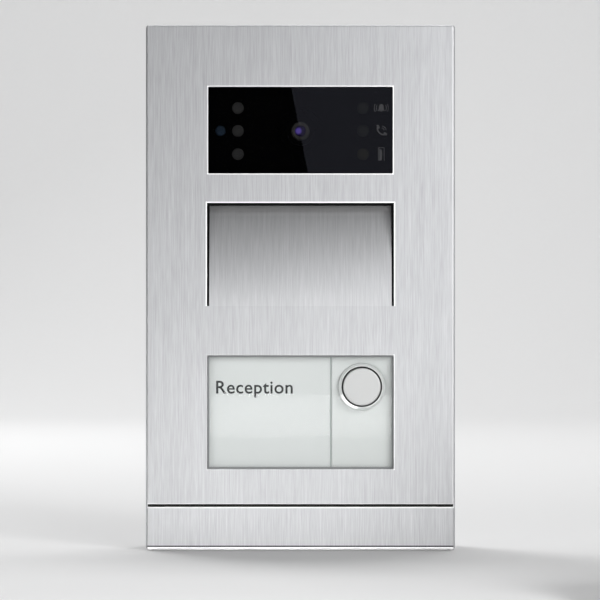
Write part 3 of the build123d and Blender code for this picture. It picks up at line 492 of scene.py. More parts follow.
@made_once
def collar_acrylic(name):
    """The button's surround: clear acrylic with a painted highlight, a glowing crescent on its lower left, and painted
    lighter towards its outer edge against the shade on its chamfer.
    """
    middle = middle_of("button_collar")
    settings = {"Specular IOR Level": 0.5, "Coat Roughness": 0.03, "Emission Strength": 1.0}
    finish = Finish(name, settings)
    turned = finish.noise(0.05 * MM, 1.0)
    radius = finish.from_axis(middle)
    towards = ((finish.along("X") - middle.x) * -0.64 + (finish.along("Z") - middle.z) * -0.77) / radius
    above_flange = finish.along("Y") < -0.0262
    # painted highlight: a crescent on the lower left that glows
    glint_crescent = finish.ramp(towards, (0.86, 0.0), (0.93, 1.0)) * above_flange
    # painted light: lighter towards the outer edge, against the shade on the chamfer
    rim = finish.ramp((radius / MM - 9.0) / 1.2, (0.0, 0.0), (1.0, 1.0))
    cloud = finish.shades(finish.noise(3 * MM, 2.0), colours().collar, 0.02)
    tone = finish.blend(rim, cloud, (0.84, 0.87, 0.86))
    return finish.surface(
        finish.blend(glint_crescent, tone, (0.95, 0.95, 0.95)),
        0.16 + 0.1 * turned,
        finish.bump(turned, 0.001 * MM, 0.4),
        {
            "Coat Weight": 0.3 + 0.1 * turned,
            "Emission Color": finish.blend(glint_crescent, (0.0, 0.0, 0.0), (0.45, 0.45, 0.45)),
        },
    )


@made_once
def coated_lens(name):
    """Lens glass with a violet anti-reflection coating. A patch a little left of its middle is painted violet and
    glows: a painted reflection off the coating.
    """
    finish = Finish(
        name,
        {
            "Roughness": 0.03,
            "IOR": 1.6,
            "Specular IOR Level": 1.0,
            "Specular Tint": (0.42, 0.3, 1.0),
            "Coat Weight": 1.0,
            "Coat Roughness": 0.02,
            "Coat Tint": (0.6, 0.5, 1.0),
            "Emission Strength": 1.0,
        },
    )
    middle = joint_point("camera_tilt_hinge")
    # painted reflection: centred 0.9 mm left of the lens's axis, violet and glowing
    x = (finish.along("X") - middle.x + 0.9 * MM) / (1.7 * MM)
    z = (finish.along("Z") - middle.z) / (1.7 * MM)
    edge = finish.ramp(x * x + z * z, (0.15, 0.0), (1.0, 1.0))
    finish.feed(
        {
            "Base Color": finish.blend(edge, (0.6, 0.42, 1.0), (0.14, 0.1, 0.22)),
            "Emission Color": finish.blend(edge, (0.28, 0.24, 0.64), (0.0, 0.0, 0.0)),
        }
    )
    return finish.material


@made_once
def led_filter(name):
    """Infrared emitter faces: smoked epoxy, grey on the left-hand lamps and painted darker olive on the right-hand ones
    as shade, browner on the lowest row.
    """
    finish = Finish(name, {"Specular IOR Level": 0.3})
    speck = finish.noise(0.2 * MM, 3.0, 0.6)
    lowest_row = finish.along("Z") < 0.0605
    # painted shade: the right-hand lamps are darker olive than the grey left-hand ones
    shaded_olive = finish.blend(lowest_row, (0.055, 0.06, 0.045), (0.085, 0.08, 0.035))
    tone = finish.blend(finish.along("X") > 0.0, (0.24, 0.24, 0.24), shaded_olive)
    return finish.surface(
        finish.blend(speck * 0.25, tone, (0.02, 0.02, 0.02)), 0.4 + 0.2 * speck, finish.bump(speck, 0.006 * MM, 0.5)
    )


# ---- plastic and rubber ------------------------------------------------------------------------


def moulded(name, colour, grain=0.25, roughness=0.5, depth=0.012, gloss=0.45):
    """Moulded plastic with a spark-eroded texture and slight flow clouds."""
    finish = Finish(name, {"Specular IOR Level": gloss})
    texture = finish.noise(grain * MM, 3.0, 0.6)
    cloud = finish.noise((0.012, 0.012, 0.02), 3.0)
    return finish.surface(
        finish.shades(cloud * 0.6 + texture * 0.4, colour, 0.18),
        roughness - 0.06 + 0.16 * texture,
        finish.bump(texture, depth * MM, 0.7),
    )


black_moulding = finish_of("black_moulding", moulded, (0.012, 0.012, 0.013))
chassis_moulding = finish_of("chassis_moulding", moulded, (0.07, 0.072, 0.076), 0.4)
mask_film = finish_of("mask_film", moulded, (0.001, 0.001, 0.0012), 0.15, 0.8, 0.004, 0.06)
white_moulding = finish_of("white_moulding", moulded, (0.72, 0.72, 0.69), 0.3, 0.4)
blue_moulding = finish_of("blue_moulding", moulded, (0.02, 0.07, 0.26), 0.3, 0.4)
green_moulding = finish_of("green_moulding", moulded, (0.03, 0.23, 0.08), 0.3, 0.45)


@made_once
def grey_rubber(name):
    """The thin grey lip of the seal that shows round the name plate; it also stands for the shade in the gap there."""
    return moulded(name, colours().lip, 0.2, 0.6, 0.006)


@made_once
def divided_moulding(name):
    """The name and button tray: black, with a white dividing wall that has a shaded line along it."""
    name_edge, button_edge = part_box("name_window")[1].x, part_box("button_window")[0].x
    finish = Finish(name, {"Specular IOR Level": 0.4})
    texture = finish.noise(0.25 * MM, 3.0, 0.6)
    x, z = finish.along("X"), finish.along("Z")
    foot, head = -0.0795, -0.0293
    wall = (x > name_edge - 2.0 * MM) * (x < button_edge + 2.0 * MM) * (z > foot) * (z < head)
    # painted shade: a grey line in the gap beside the dividing wall
    line = (x > name_edge - 0.1 * MM) * (x < button_edge)
    white = finish.blend(line, colours().label, (0.42, 0.46, 0.45))
    return finish.surface(
        finish.blend(wall, finish.shades(texture, (0.015, 0.015, 0.016), 0.3), white),
        0.45 + 0.16 * texture,
        finish.bump(texture, 0.01 * MM, 0.6),
    )


@made_once
def black_rubber(name):
    """Soft rubber: matt, slightly dusty, with a fine open skin."""
    finish = Finish(name, {"Specular IOR Level": 0.3, "Sheen Weight": 0.15, "Sheen Roughness": 0.5})
    skin = finish.noise(0.2 * MM, 4.0, 0.7)
    dust = finish.ramp(finish.noise(5 * MM, 4.0, 0.65), (0.45, 0.0), (0.8, 1.0))
    return finish.surface(
        finish.blend(dust, (0.012, 0.012, 0.012), (0.04, 0.038, 0.036)),
        0.7 + 0.2 * skin,
        finish.bump(skin, 0.01 * MM, 0.8),
    )


@made_once
def ribbon_vinyl(name):
    """Flat cable: grey vinyl pressed over its wires, with a red stripe on one edge."""
    finish = Finish(name, {"Specular IOR Level": 0.4})
    across = finish.along("Y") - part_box("ribbon_cables")[0].y
    wire = across % (0.635 * MM) / (0.635 * MM) - 0.5
    return finish.surface(
        finish.blend(across < 0.6 * MM, (0.42, 0.42, 0.41), (0.5, 0.03, 0.02)),
        0.36 + 0.12 * finish.noise(0.5 * MM),
        finish.bump(1 - 4 * wire * wire, 0.15 * MM, 1.0),
    )


@made_once
def circuit_board(name):
    """Green solder mask over squared copper tracks, with tinned pads."""
    finish = Finish(name, {"Specular IOR Level": 0.5, "Coat Weight": 0.4, "Coat Roughness": 0.15})
    track = finish.ramp(finish.cells(2.6 * MM, "DISTANCE_TO_EDGE"), (0.03, 1.0), (0.06, 0.0))
    pad = finish.ramp(finish.cells(3.4 * MM), (0.1, 1.0), (0.13, 0.0))
    weave = finish.noise(0.3 * MM, 2.0)
    mask = finish.blend(track, (0.008, 0.07, 0.03), (0.02, 0.15, 0.06))
    return finish.surface(
        finish.blend(pad, mask, (0.6, 0.58, 0.52)),
        0.32 + 0.1 * weave,
        finish.bump(track * 0.5 + pad + 0.1 * weave, 0.035 * MM, 0.7),
        {"Metallic": pad * 0.8},
    )


@made_once
def phosphor(name):
    """Backlight chips: yellow phosphor in a white ceramic cup."""
    finish = Finish(name, {"Specular IOR Level": 0.4})
    grain = finish.noise(0.15 * MM, 3.0)
    colour = finish.blend(grain, (0.82, 0.62, 0.12), (0.86, 0.78, 0.4))
    return finish.surface(colour, 0.4 + 0.2 * grain, finish.bump(grain, 0.01 * MM, 0.5))


# ---- finishes that follow one fine noise -------------------------------------------------------


def even_skin(name, shader, noise, colour, spread, roughness, relief, strength):
    """Colour, gloss and relief all follow one fine noise. The colour may be the name of a setting."""
    colour = getattr(colours(), colour) if isinstance(colour, str) else colour
    finish = Finish(name, shader)
    grain = finish.noise(*noise)
    return finish.surface(
        finish.shades(grain, colour, spread), roughness + 0.2 * grain, finish.bump(grain, relief, strength)
    )


def printed(name, colour, wear):
    """Screen print: a thin even ink with slightly ragged edges."""
    return even_skin(name, {"Specular IOR Level": 0.3}, (0.12 * MM, 3.0, 0.7), colour, wear, 0.45, 0.003 * MM, 0.4)


icon_ink = finish_of("icon_ink", printed, "icons", 0.15)
name_ink = finish_of("name_ink", printed, "ink", 0.3)
board_ink = finish_of("board_ink", printed, (0.75, 0.76, 0.72), 0.1)

METALLIC, SATIN, GLOSSY = {"Metallic": 1.0}, {"Specular IOR Level": 0.4}, {"Specular IOR Level": 0.5}
EVEN_SKINS = {
    # name: shader, noise, colour, spread, roughness, relief and its strength
    "spring_wire": (METALLIC, (0.1 * MM, 3.0), (0.4, 0.4, 0.39), 0.2, 0.28, 0.004 * MM, 0.4),
    "sensor_epoxy": (SATIN, (0.5 * MM, 2.0), (0.09, 0.17, 0.29), 0.2, 0.25, 0.004 * MM, 0.4),
    "cone_film": (SATIN, (0.4 * MM, 2.0), (0.03, 0.03, 0.032), 0.3, 0.38, 0.02 * MM, 0.6),
    "powder_coat": (GLOSSY, (0.5 * MM, 2.0), (0.012, 0.012, 0.013), 0.3, 0.4, 0.02 * MM, 0.6),
    "magnet_plate": (
        METALLIC, ((0.3 * MM, 0.3 * MM, 2 * MM), 4.0, 0.7), (0.42, 0.41, 0.38), 0.2, 0.26, 0.004 * MM, 0.5
    ),
}
spring_wire, sensor_epoxy, cone_film, powder_coat, magnet_plate = (
    finish_of(name, even_skin, *settings) for name, settings in EVEN_SKINS.items()
)


# ---- shaping pieces ----------------------------------------------------------------------------


def shown(name, data):
    """A new object in the scene."""
    item = bpy.data.objects.new(name, data)
    bpy.context.scene.collection.objects.link(item)
    return item


def closed_mesh(name, shape, crisp=None):
    """Turns a bmesh into a mesh, smooth but for edges sharper than this many degrees."""
    mesh = bpy.data.meshes.new(name)
    shape.to_mesh(mesh)
    shape.free()
    if crisp:
        mesh.set_sharp_from_angle(angle=math.radians(crisp))
    return mesh


def finished_piece(name, mesh, finish, body):
    """Puts a mesh in the scene as a piece that rides on a body."""
    piece = shown(name, mesh)
    mesh.materials.clear()
    mesh.materials.append(finish)
    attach(piece, body)
    return piece


def flat_shape(name, loops, back, front, edge=0.0):
    """A flat shape cut to closed loops of (x, z) points, between two distances from the wall."""
    outline = bpy.data.curves.new(name, "CURVE")
    outline.dimensions = "2D"
    outline.fill_mode = "BOTH"
    outline.extrude = (front - back) / 2 - edge
    outline.bevel_depth = edge
    outline.bevel_resolution = 2
    outline.offset = -edge
    for loop in loops:
        spline = outline.splines.new("POLY")
        spline.points.add(len(loop) - 1)
        for point, (x, z) in zip(spline.points, loop):
            point.co = (x, z, 0.0, 1.0)
        spline.use_cyclic_u = True
    return standing_mesh(name, outline, (front + back) / 2)


def standing_mesh(name, curve, depth):
    """A flat curve or text, stood up to face the front at a distance from the wall, as a mesh."""
    carrier = shown(name, curve)
    view = bpy.context.evaluated_depsgraph_get()
    mesh = bpy.data.meshes.new_from_object(carrier.evaluated_get(view))
    bpy.data.objects.remove(carrier)
    mesh.name = name
    mesh.transform(Matrix.Translation((0, -depth, 0)) @ Matrix.Rotation(math.pi / 2, 4, "X"))
    return mesh


def turned_mesh(name, profile, centres, steps=48):
    """A profile of (radius, distance from the wall) in millimetres, turned about each centre (x, z)."""
    shape = bmesh.new()
    for x, z in centres:
        rings = []
        for radius, depth in ((radius * MM, depth * MM) for radius, depth in profile):
            if radius == 0:
                rings.append([shape.verts.new((x, -depth, z))])
                continue
            angles = [2 * math.pi * step / steps for step in range(steps)]
            rings.append(
                [shape.verts.new((x + radius * math.cos(a), -depth, z + radius * math.sin(a))) for a in angles]
            )
        closed = profile[0][0] > 0 and profile[-1][0] > 0
        pairs = list(zip(rings, rings[1:])) + ([(rings[-1], rings[0])] if closed else [])
        for first, second in pairs:
            skin(shape, first, second, steps)
    bmesh.ops.recalc_face_normals(shape, faces=shape.faces)
    for face in shape.faces:
        face.smooth = True
    return closed_mesh(name, shape, 35)


def skin(shape, first, second, steps):
    """Faces between two rings, either of which may be a single point on the axis."""
    for step in range(steps):
        after = (step + 1) % steps
        corners = [first[step % len(first)], first[after % len(first)]]
        corners += [second[after % len(second)], second[step % len(second)]]
        face = list(dict.fromkeys(corners))
        if len(face) > 2:
            shape.faces.new(face)


def coil_mesh(name, low, high, wire, turns, steps=36, sides=10):
    """A coil spring that fills a box, wound about the box's middle line along Y."""
    middle = (low + high) / 2
    radius, length = (high.x - low.x) / 2 - wire, high.y - low.y - 2 * wire
    shape, rings = bmesh.new(), []
    for step in range(int(turns * steps) + 1):
        turn = 2 * math.pi * step / steps
        outward = Vector((math.cos(turn), 0, math.sin(turn)))
        wound = high.y - wire - length * step / (turns * steps)
        centre = Vector((middle.x, wound, middle.z)) + outward * radius
        along = Vector((-math.sin(turn) * radius, -length / (turns * 2 * math.pi), math.cos(turn) * radius))
        across = along.normalized().cross(outward)
        angles = [2 * math.pi * side / sides for side in range(sides)]
        ring = [centre + wire * (outward * math.cos(a) + across * math.sin(a)) for a in angles]
        rings.append([shape.verts.new(point) for point in ring])
    for first, second in zip(rings, rings[1:]):
        skin(shape, first, second, sides)
    shape.faces.new(rings[0])
    shape.faces.new(rings[-1])
    bmesh.ops.recalc_face_normals(shape, faces=shape.faces)
    for face in shape.faces:
        face.smooth = len(face.verts) == 4
    return closed_mesh(name, shape)


def rounded_boxes(name, boxes, edge):
    """Boxes given as (low corner, high corner), in one mesh, with their edges rounded."""
    shape = bmesh.new()
    for low, high in boxes:
        size = Vector(high) - Vector(low)
        place = Matrix.Translation((Vector(low) + Vector(high)) / 2) @ Matrix.Diagonal((*size, 1.0))
        bmesh.ops.create_cube(shape, size=1.0, matrix=place)
    bmesh.ops.bevel(
        shape, geom=shape.edges[:], offset=edge, segments=2, profile=0.5, affect="EDGES", clamp_overlap=True
    )
    for face in shape.faces:
        face.smooth = True
    return closed_mesh(name, shape, 40)


def arc(x, z, radius, start, end, steps=12):
    """Points on an arc about (x, z), with its angles in degrees from +X towards +Z."""
    angles = [math.radians(start + (end - start) * step / steps) for step in range(steps + 1)]
    return [(x + radius * math.cos(a), z + radius * math.sin(a)) for a in angles]


def band(x, z, radius, width, start, end):
    """A curved bar of this width about (x, z), as a closed loop."""
    outer = arc(x, z, radius + width / 2, start, end)
    inner = arc(x, z, radius - width / 2, end, start)
    return outer + inner


def placed(loop, x, z, scale=MM, turn=0.0):
    """A loop drawn in millimetres, turned and moved to (x, z)."""
    c, s = math.cos(math.radians(turn)), math.sin(math.radians(turn))
    return [(x + scale * (c * u - s * v), z + scale * (s * u + c * v)) for u, v in loop]


def text_mesh(name, words, height, left, base, depth, thick):
    """Plain lettering with its capitals this high, its left edge and baseline at (left, base)."""
    curve = bpy.data.curves.new(name, "FONT")
    curve.body = words
    curve.size = 1.0
    curve.offset = 0.012
    curve.space_character = 1.06
    mesh = standing_mesh(name, curve, 0.0)
    scale = height / max(vertex.co.z for vertex in mesh.vertices)
    start = Matrix.Translation((-min(vertex.co.x for vertex in mesh.vertices), 0, 0))
    mesh.transform(Matrix.Translation((left, -depth, base)) @ Matrix.Scale(scale, 4) @ start)
    shape = bmesh.new()
    shape.from_mesh(mesh)
    faces = bmesh.ops.extrude_face_region(shape, geom=shape.faces[:])
    moved = [item for item in faces["geom"] if isinstance(item, bmesh.types.BMVert)]
    bmesh.ops.translate(shape, verts=moved, vec=(0, -thick, 0))
    bmesh.ops.recalc_face_normals(shape, faces=shape.faces)
    shape.to_mesh(mesh)
    shape.free()
    return mesh


def paint(finishes):
    """Gives solid parts their finishes."""
    for node, finish in finishes.items():
        part = frame["nodes"][node]
        part.data.materials.clear()
        part.data.materials.append(finish)


# ---- sizes and colours that a user may change --------------------------------------------------


def length_setting(name, description, default):
    """A length in metres."""
    return FloatProperty(
        name=name, description=description, default=default, min=0.0, subtype="DISTANCE", unit="LENGTH", precision=5
    )


def colour_setting(name, description, default):
    """A red, green and blue from 0 to 1."""
    return FloatVectorProperty(
        name=name, description=description, default=default, min=0.0, max=1.0, size=3, subtype="COLOR"
    )


class IntercomSizes(bpy.types.PropertyGroup):
    """Sizes of the fine fittings and of the steel's grain."""

    grain_width: length_setting("Grain width", "Width of one streak in the brushed steel", 0.42 * MM)
    grain_length: length_setting("Grain length", "Length of one streak in the brushed steel", 12.0 * MM)
    grain_contrast: FloatProperty(name="Grain contrast", description="How far streaks differ", default=0.25, min=0.0)
    # the polished line along a cut edge carries a painted highlight
    polished_line: length_setting("Polished line", "Width of the polished line along a cut edge", 0.5 * MM)
    letter_height: length_setting("Letter height", "Height of a capital on the name label", 5.5 * MM)
    letter_margin: length_setting("Letter margin", "From the opening's left edge to the first letter", 3.7 * MM)
    name_words: StringProperty(name="Name", description="Words on the name label", default="Reception")
    lip_width: length_setting("Lip width", "Width of the seal's lip round the name plate", 0.75 * MM)
    # the liner is a black ring that stands for the shade in the gap between cap and collar
    liner_width: length_setting("Liner width", "Width of the black ring inside the button's collar", 0.6 * MM)


class IntercomColours(bpy.types.PropertyGroup):
    """Base colours of the finishes."""

    plate: colour_setting("Plate", "Brushed steel of the front plate", (0.383, 0.386, 0.394))
    strip: colour_setting("Strip", "Brushed steel of the closing strip", (0.402, 0.405, 0.413))
    # painted highlight colour: on the polished cut edges, the baffle tongue's top and the housing's bottom
    polished: colour_setting("Polished edges", "Steel along the cut edges", (0.9, 0.9, 0.9))
    housing: colour_setting("Housing", "Anodised housing", (0.5, 0.505, 0.515))
    window: colour_setting("Camera window", "Tinted acrylic", (0.0008, 0.0008, 0.001))
    clear: colour_setting("Clear plates", "Clear acrylic over the name and round the button", (0.25, 0.28, 0.27))
    label: colour_setting("Label", "Name label", (0.79, 0.82, 0.81))
    diffuser: colour_setting("Diffuser", "Milky plate behind the button", (0.775, 0.805, 0.792))
    collar: colour_setting("Collar", "Surround of the button", (0.6, 0.62, 0.61))
    button: colour_setting("Button", "Satin button cap", (0.45, 0.454, 0.45))
    barrel: colour_setting("Barrel", "Lens barrel", (0.222, 0.217, 0.205))
    # the seal lip's grey also stands for the shade in the gap round the name plate
    lip: colour_setting("Seal lip", "Lip of the seal round the name plate", (0.27, 0.28, 0.285))
    icons: colour_setting("Pictograms", "Print behind the camera window", (0.65, 0.65, 0.65))
    ink: colour_setting("Ink", "Lettering on the name label", (0.03, 0.03, 0.032))


class IntercomStudio(bpy.types.PropertyGroup):
    """The stage's light and camera."""

    lens: FloatProperty(name="Lens", description="Focal length", default=180.0, min=20.0, unit="CAMERA")
    frame_width: length_setting("Frame width", "Width that the camera sees at the housing's rim", 0.26214)
    ambient: FloatProperty(name="Ambient", description="Light from all round", default=0.12, min=0.0)
    strength: FloatProperty(name="Strength", description="Scales every light", default=1.0, min=0.0)


# ---- making steps ------------------------------------------------------------------------------


class INTERCOM_OT_front_metal(bpy.types.Operator):
    """Finish the front plate and the closing strip in brushed steel"""

    bl_idname = "intercom.front_metal"
    bl_label = "Front metal"

    def execute(self, context):
        paint({"front_plate": brushed_plate(), "end_strip": brushed_strip()})
        return {"FINISHED"}


class INTERCOM_OT_housing(bpy.types.Operator):
    """Finish the housing, its seals and its cable grommet"""

    bl_idname = "intercom.housing"
    bl_label = "Housing"

    def execute(self, context):
        paint({"back_plate": satin_aluminium(), "housing_frame": satin_aluminium()})
        paint({node: black_rubber() for node in ("wall_gasket", "cable_grommet", "window_seals", "cover_seal")})
        # the grey seal lip, a real lip that also stands for the painted shade in the gap round the name plate
        left, low, right, top = NAME_OPENING
        inset, front = context.scene.intercom_sizes.lip_width, front_of("name_window")
        outer = [(left, low), (right, low), (right, top), (left, top)]
        inner = [(left + inset, low + inset), (left + inset, top - inset)]
        inner += [(right - inset, top - inset), (right - inset, low + inset)]
        mesh = flat_shape("seal_lip", [outer, inner], front + 0.02 * MM, front + 0.3 * MM, 0.03 * MM)
        finished_piece("seal_lip", mesh, grey_rubber(), "cover")
        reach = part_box("front_plate")[1].x - 0.1 * MM
        foot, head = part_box("end_strip")[1].z + 0.08 * MM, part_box("front_plate")[0].z - 0.06 * MM
        line = [(-reach, foot), (reach, foot), (reach, head), (-reach, head)]
        back = front_of("lock_bracket")
        mesh = flat_shape("groove_seal", [line], back - 0.06 * MM, back + 0.2 * MM, 0.03 * MM)
        finished_piece("groove_seal", mesh, black_rubber(), "cover")
        washers = [(x, z) for x in (-0.058, 0.058) for z in (-0.098, 0.098)]
        profile = [(2.7, 4.5), (4.6, 4.5), (4.7, 4.7), (4.6, 5.0), (2.8, 5.0), (2.65, 4.8)]
        mesh = turned_mesh("wall_hole_washers", profile, washers, 32)
        finished_piece("wall_hole_washers", mesh, black_rubber(), "housing")
        return {"FINISHED"}


class INTERCOM_OT_hardware(bpy.types.Operator):
    """Finish the brackets, claws, screws and magnets, and add weld spots"""

    bl_idname = "intercom.hardware"
    bl_label = "Hardware"

    def execute(self, context):
        paint({"lock_bracket": zinc_sheet(), "hinge_claws": zinc_sheet(), "speaker_basket": zinc_sheet()})
        paint({"carrier_screws": plated_screw(), "lock_screws": plated_screw()})
        paint({"terminal_screws": plated_screw(), "microphone_capsule": plated_screw()})
        paint({"speaker_magnet": magnet_plate(), "tamper_magnet": magnet_plate()})
        back = back_of("lock_bracket") / MM
        spots = [(x * MM, -89.5 * MM) for x in (-48, -24, 0, 24, 48)]
        profile = [(0, back - 0.02), (1.4, back - 0.02), (1.9, back - 0.12), (2.3, back - 0.02), (2.4, back + 0.02)]
        mesh = turned_mesh("weld_spots", profile, spots, 24)
        finished_piece("weld_spots", mesh, zinc_sheet(), "cover")
        return {"FINISHED"}


class INTERCOM_OT_windows(bpy.types.Operator):
    """Finish the dark camera window and the two clear plates"""

    bl_idname = "intercom.windows"
    bl_label = "Windows"

    def execute(self, context):
        paint({"camera_window": dark_window(), "name_window": clear_window(), "button_window": clear_window()})
        return {"FINISHED"}


class INTERCOM_OT_camera(bpy.types.Operator):
    """Finish the camera module and add the lens rings and the emitters' filter caps"""

    bl_idname = "intercom.camera"
    bl_label = "Camera"

    def execute(self, context):
        paint({node: mask_film() for node in ("camera_housing", "camera_bracket", "pan_ring")})
        paint({"camera_mask": mask_film(), "camera_barrel": barrel_metal(), "front_lens": coated_lens()})
        paint({"infrared_leds": led_filter(), "light_sensor": sensor_epoxy()})
        paint({"icon_light_guides": mask_film()})
        self.add_lens_rings()
        self.add_filter_caps()
        return {"FINISHED"}

    def add_lens_rings(self):
        """The threaded retainer round the front lens, and the grooved focus ring behind it."""
        axis = joint_point("camera_tilt_hinge")
        tip = front_of("camera_barrel") / MM
        profile = [(2.45, tip - 0.9), (2.45, tip - 0.35), (2.75, tip - 0.2), (3.2, tip - 0.2)]
        profile += [(3.3, tip - 0.5), (2.9, tip - 0.95)]
        mesh = turned_mesh("lens_retainer", profile, [(axis.x, axis.z)])
        finished_piece("lens_retainer", mesh, barrel_metal(), "camera_tilt")
        grooves = []
        for step in range(3):
            depth = tip - 2.0 - step * 0.45
            grooves += [(4.08, depth), (4.12, depth + 0.1), (4.08, depth + 0.2)]
        profile = [(3.95, tip - 3.1), *grooves, (3.95, tip - 1.6)]
        mesh = turned_mesh("focus_ring", profile, [(axis.x, axis.z)])
        finished_piece("focus_ring", mesh, barrel_metal(), "camera_tilt")

    def add_filter_caps(self):
        """A shallow domed cap over each emitter, level with the mask."""
        low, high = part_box("infrared_leds")
        columns = (low.x + 2.9 * MM, high.x - 2.9 * MM)
        middle = joint_point("camera_pan_hinge").z
        rows = (middle + 10.0 * MM, middle, middle - 10.2 * MM)
        front = front_of("camera_mask") / MM
        profile = [(0, front + 0.02), (1.2, front - 0.01), (2.2, front - 0.12), (2.5, front - 0.3), (2.6, front - 0.7)]
        profile += [(2.6, front - 1.3), (0, front - 1.3)]
        mesh = turned_mesh("emitter_caps", profile, [(x, z) for x in columns for z in rows], 32)
        finished_piece("emitter_caps", mesh, led_filter(), "housing")


class INTERCOM_OT_pictograms(bpy.types.Operator):
    """Print the bell, handset and open door behind the camera window"""

    bl_idname = "intercom.pictograms"
    bl_label = "Pictograms"

    def execute(self, context):
        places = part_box("icon_light_guides")
        x = (places[0].x + places[1].x) / 2
        top, low = places[1].z - 3.2 * MM, places[0].z + 3.2 * MM
        middle = joint_point("camera_pan_hinge").z
        drawings = (
            ("bell_icon", self.bell(), top),
            ("handset_icon", self.handset(), middle),
            ("door_icon", self.door(), low),
        )
        back = front_of("icon_light_guides")
        for name, loops, z in drawings:
            mesh = flat_shape(name, [placed(loop, x, z) for loop in loops], back, back + 0.06 * MM, 0.01 * MM)
            finished_piece(name, mesh, icon_ink(), "housing")
        return {"FINISHED"}

    def bell(self):
        """A bell between two pairs of sound waves."""
        side = [(0.22, 1.75), (0.8, 1.4), (1.05, 0.6), (1.1, -0.45), (1.55, -1.05), (1.55, -1.25)]
        body = side + [(-x, z) for x, z in reversed(side)]
        clapper = arc(0, -1.4, 0.42, 180, 360)
        waves = []
        for radius in (2.2, 3.1):
            waves.append(band(0, 0.0, radius, 0.3, -34, 34))
            waves.append(band(0, 0.0, radius, 0.3, 146, 214))
        return [body, clapper, *waves]

    def handset(self):
        """A handset lying back, with two waves from its earpiece."""
        grip = band(1.35, 1.35, 3.1, 0.62, 176, 274)
        cup = [(-0.85, -0.42), (0.85, -0.42), (0.85, 0.3), (0.5, 0.55), (-0.5, 0.55), (-0.85, 0.3)]
        ear = placed(cup, -1.35, 1.75, 1.0, -62)
        mouth = placed(cup, 1.75, -1.35, 1.0, -28)
        waves = [band(0.0, 0.0, radius, 0.3, 8, 82) for radius in (1.25, 2.15)]
        return [grip, ear, mouth, *waves]

    def door(self):
        """A door standing open in its frame."""
        frame_outer = [(-1.4, -2.9), (-1.4, 2.9), (1.4, 2.9), (1.4, -2.9)]
        frame_outer += [(1.1, -2.9), (1.1, 2.6), (-1.1, 2.6), (-1.1, -2.9)]
        leaf = [(-0.85, -2.9), (-0.85, 2.3), (0.3, 1.7), (0.3, -2.5)]
        knob = arc(0.65, -0.2, 0.16, 0, 330, 11)
        return [frame_outer, leaf, knob]


class INTERCOM_OT_name_plate(bpy.types.Operator):
    """Finish the label and its light guide, and print the name"""

    bl_idname = "intercom.name_plate"
    bl_label = "Name plate"

    def execute(self, context):
        sizes = context.scene.intercom_sizes
        self.add_wall_films()
        paint({"name_label": label_film(), "light_guide": light_guide_acrylic(), "button_diffuser": diffuser()})
        paint({"backlight_leds": phosphor(), "button_housing": divided_moulding()})
        window_low, window_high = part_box("name_window")
        left = window_low.x + 2.6 * MM + sizes.letter_margin
        base = (window_low.z + window_high.z) / 2 + 8.1 * MM
        depth = front_of("name_label")
        mesh = text_mesh("name_lettering", sizes.name_words, sizes.letter_height, left, base, depth, 0.03 * MM)
        finished_piece("name_lettering", mesh, name_ink(), "housing")
        return {"FINISHED"}

    def add_wall_films(self):
        """White film down both sides of the dividing wall, to the label and the diffuser."""
        middle = (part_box("name_window")[1].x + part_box("button_window")[0].x) / 2
        low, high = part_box("name_label")
        gaps = ((high.x, middle - 0.52 * MM), (middle + 0.52 * MM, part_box("button_diffuser")[0].x))
        front = front_of("name_label")
        loops = [[(a, low.z), (b, low.z), (b, high.z), (a, high.z)] for a, b in gaps]
        mesh = flat_shape("wall_films", loops, front - 0.2 * MM, front)
        finished_piece("wall_films", mesh, label_film(), "housing")


class INTERCOM_OT_call_button(bpy.types.Operator):
    """Finish the call button and its collar, and line the gap between them in black for its shade"""

    bl_idname = "intercom.call_button"
    bl_label = "Call button"

    def execute(self, context):
        paint({"button_cap": button_metal(), "button_collar": collar_acrylic(), "button_seal": black_rubber()})
        paint({node: black_moulding() for node in ("button_stem", "tactile_switch", "switch_plunger")})
        low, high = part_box("button_seal")
        outer = (high.x - low.x) / 2 / MM
        inner = outer - context.scene.intercom_sizes.liner_width / MM
        back, front = front_of("button_seal") / MM + 0.02, front_of("button_collar") / MM
        profile = [(outer, back), (outer, front - 0.02), (outer - 0.15, front + 0.06), (inner + 0.1, front)]
        profile += [(inner, front - 0.2), (inner, back)]
        middle = middle_of("button_seal")
        # painted shade: a black liner ring stands for the shade in the gap between cap and collar
        mesh = turned_mesh("collar_liner", profile, [(middle.x, middle.z)], 72)
        finished_piece("collar_liner", mesh, black_rubber(), "housing")
        self.add_cap_rim(inner - 0.12)
        self.add_spring()
        return {"FINISHED"}

    def add_spring(self):
        """The return spring: a wound coil in place of the solid spring part."""
        low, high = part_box("button_spring")
        wire_radius, turns = 0.35 * MM, 3.5
        mesh = coil_mesh("return_spring", low, high, wire_radius, turns)
        spring = finished_piece("return_spring", mesh, spring_wire(), "housing")
        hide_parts("button_spring")
        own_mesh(spring)

    def add_cap_rim(self, outer):
        """Thin rolled rim round the cap, just clear of the liner."""
        cap, middle = (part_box("button_cap")[1].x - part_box("button_cap")[0].x) / 2 / MM, middle_of("button_cap")
        back, front = back_of("button_cap") / MM + 0.3, front_of("button_cap") / MM - 0.02
        profile = [(cap - 0.02, back), (outer, back), (outer, front - 0.16), (outer - 0.05, front - 0.05)]
        profile += [(outer - 0.16, front), (cap - 0.28, front), (cap - 0.3, front - 0.1), (cap - 0.02, front - 0.4)]
        mesh = turned_mesh("cap_rim", profile, [(middle.x, middle.z)], 96)
        finished_piece("cap_rim", mesh, button_metal(), "call_button")


class INTERCOM_OT_audio(bpy.types.Operator):
    """Finish the loudspeaker, its grille and the microphone"""

    bl_idname = "intercom.audio"
    bl_label = "Audio"

    def execute(self, context):
        paint({"audio_housing": black_moulding(), "speaker_grille": powder_coat(), "speaker_cone": cone_film()})
        paint({"speaker_surround": black_rubber(), "microphone_boot": black_rubber()})
        return {"FINISHED"}


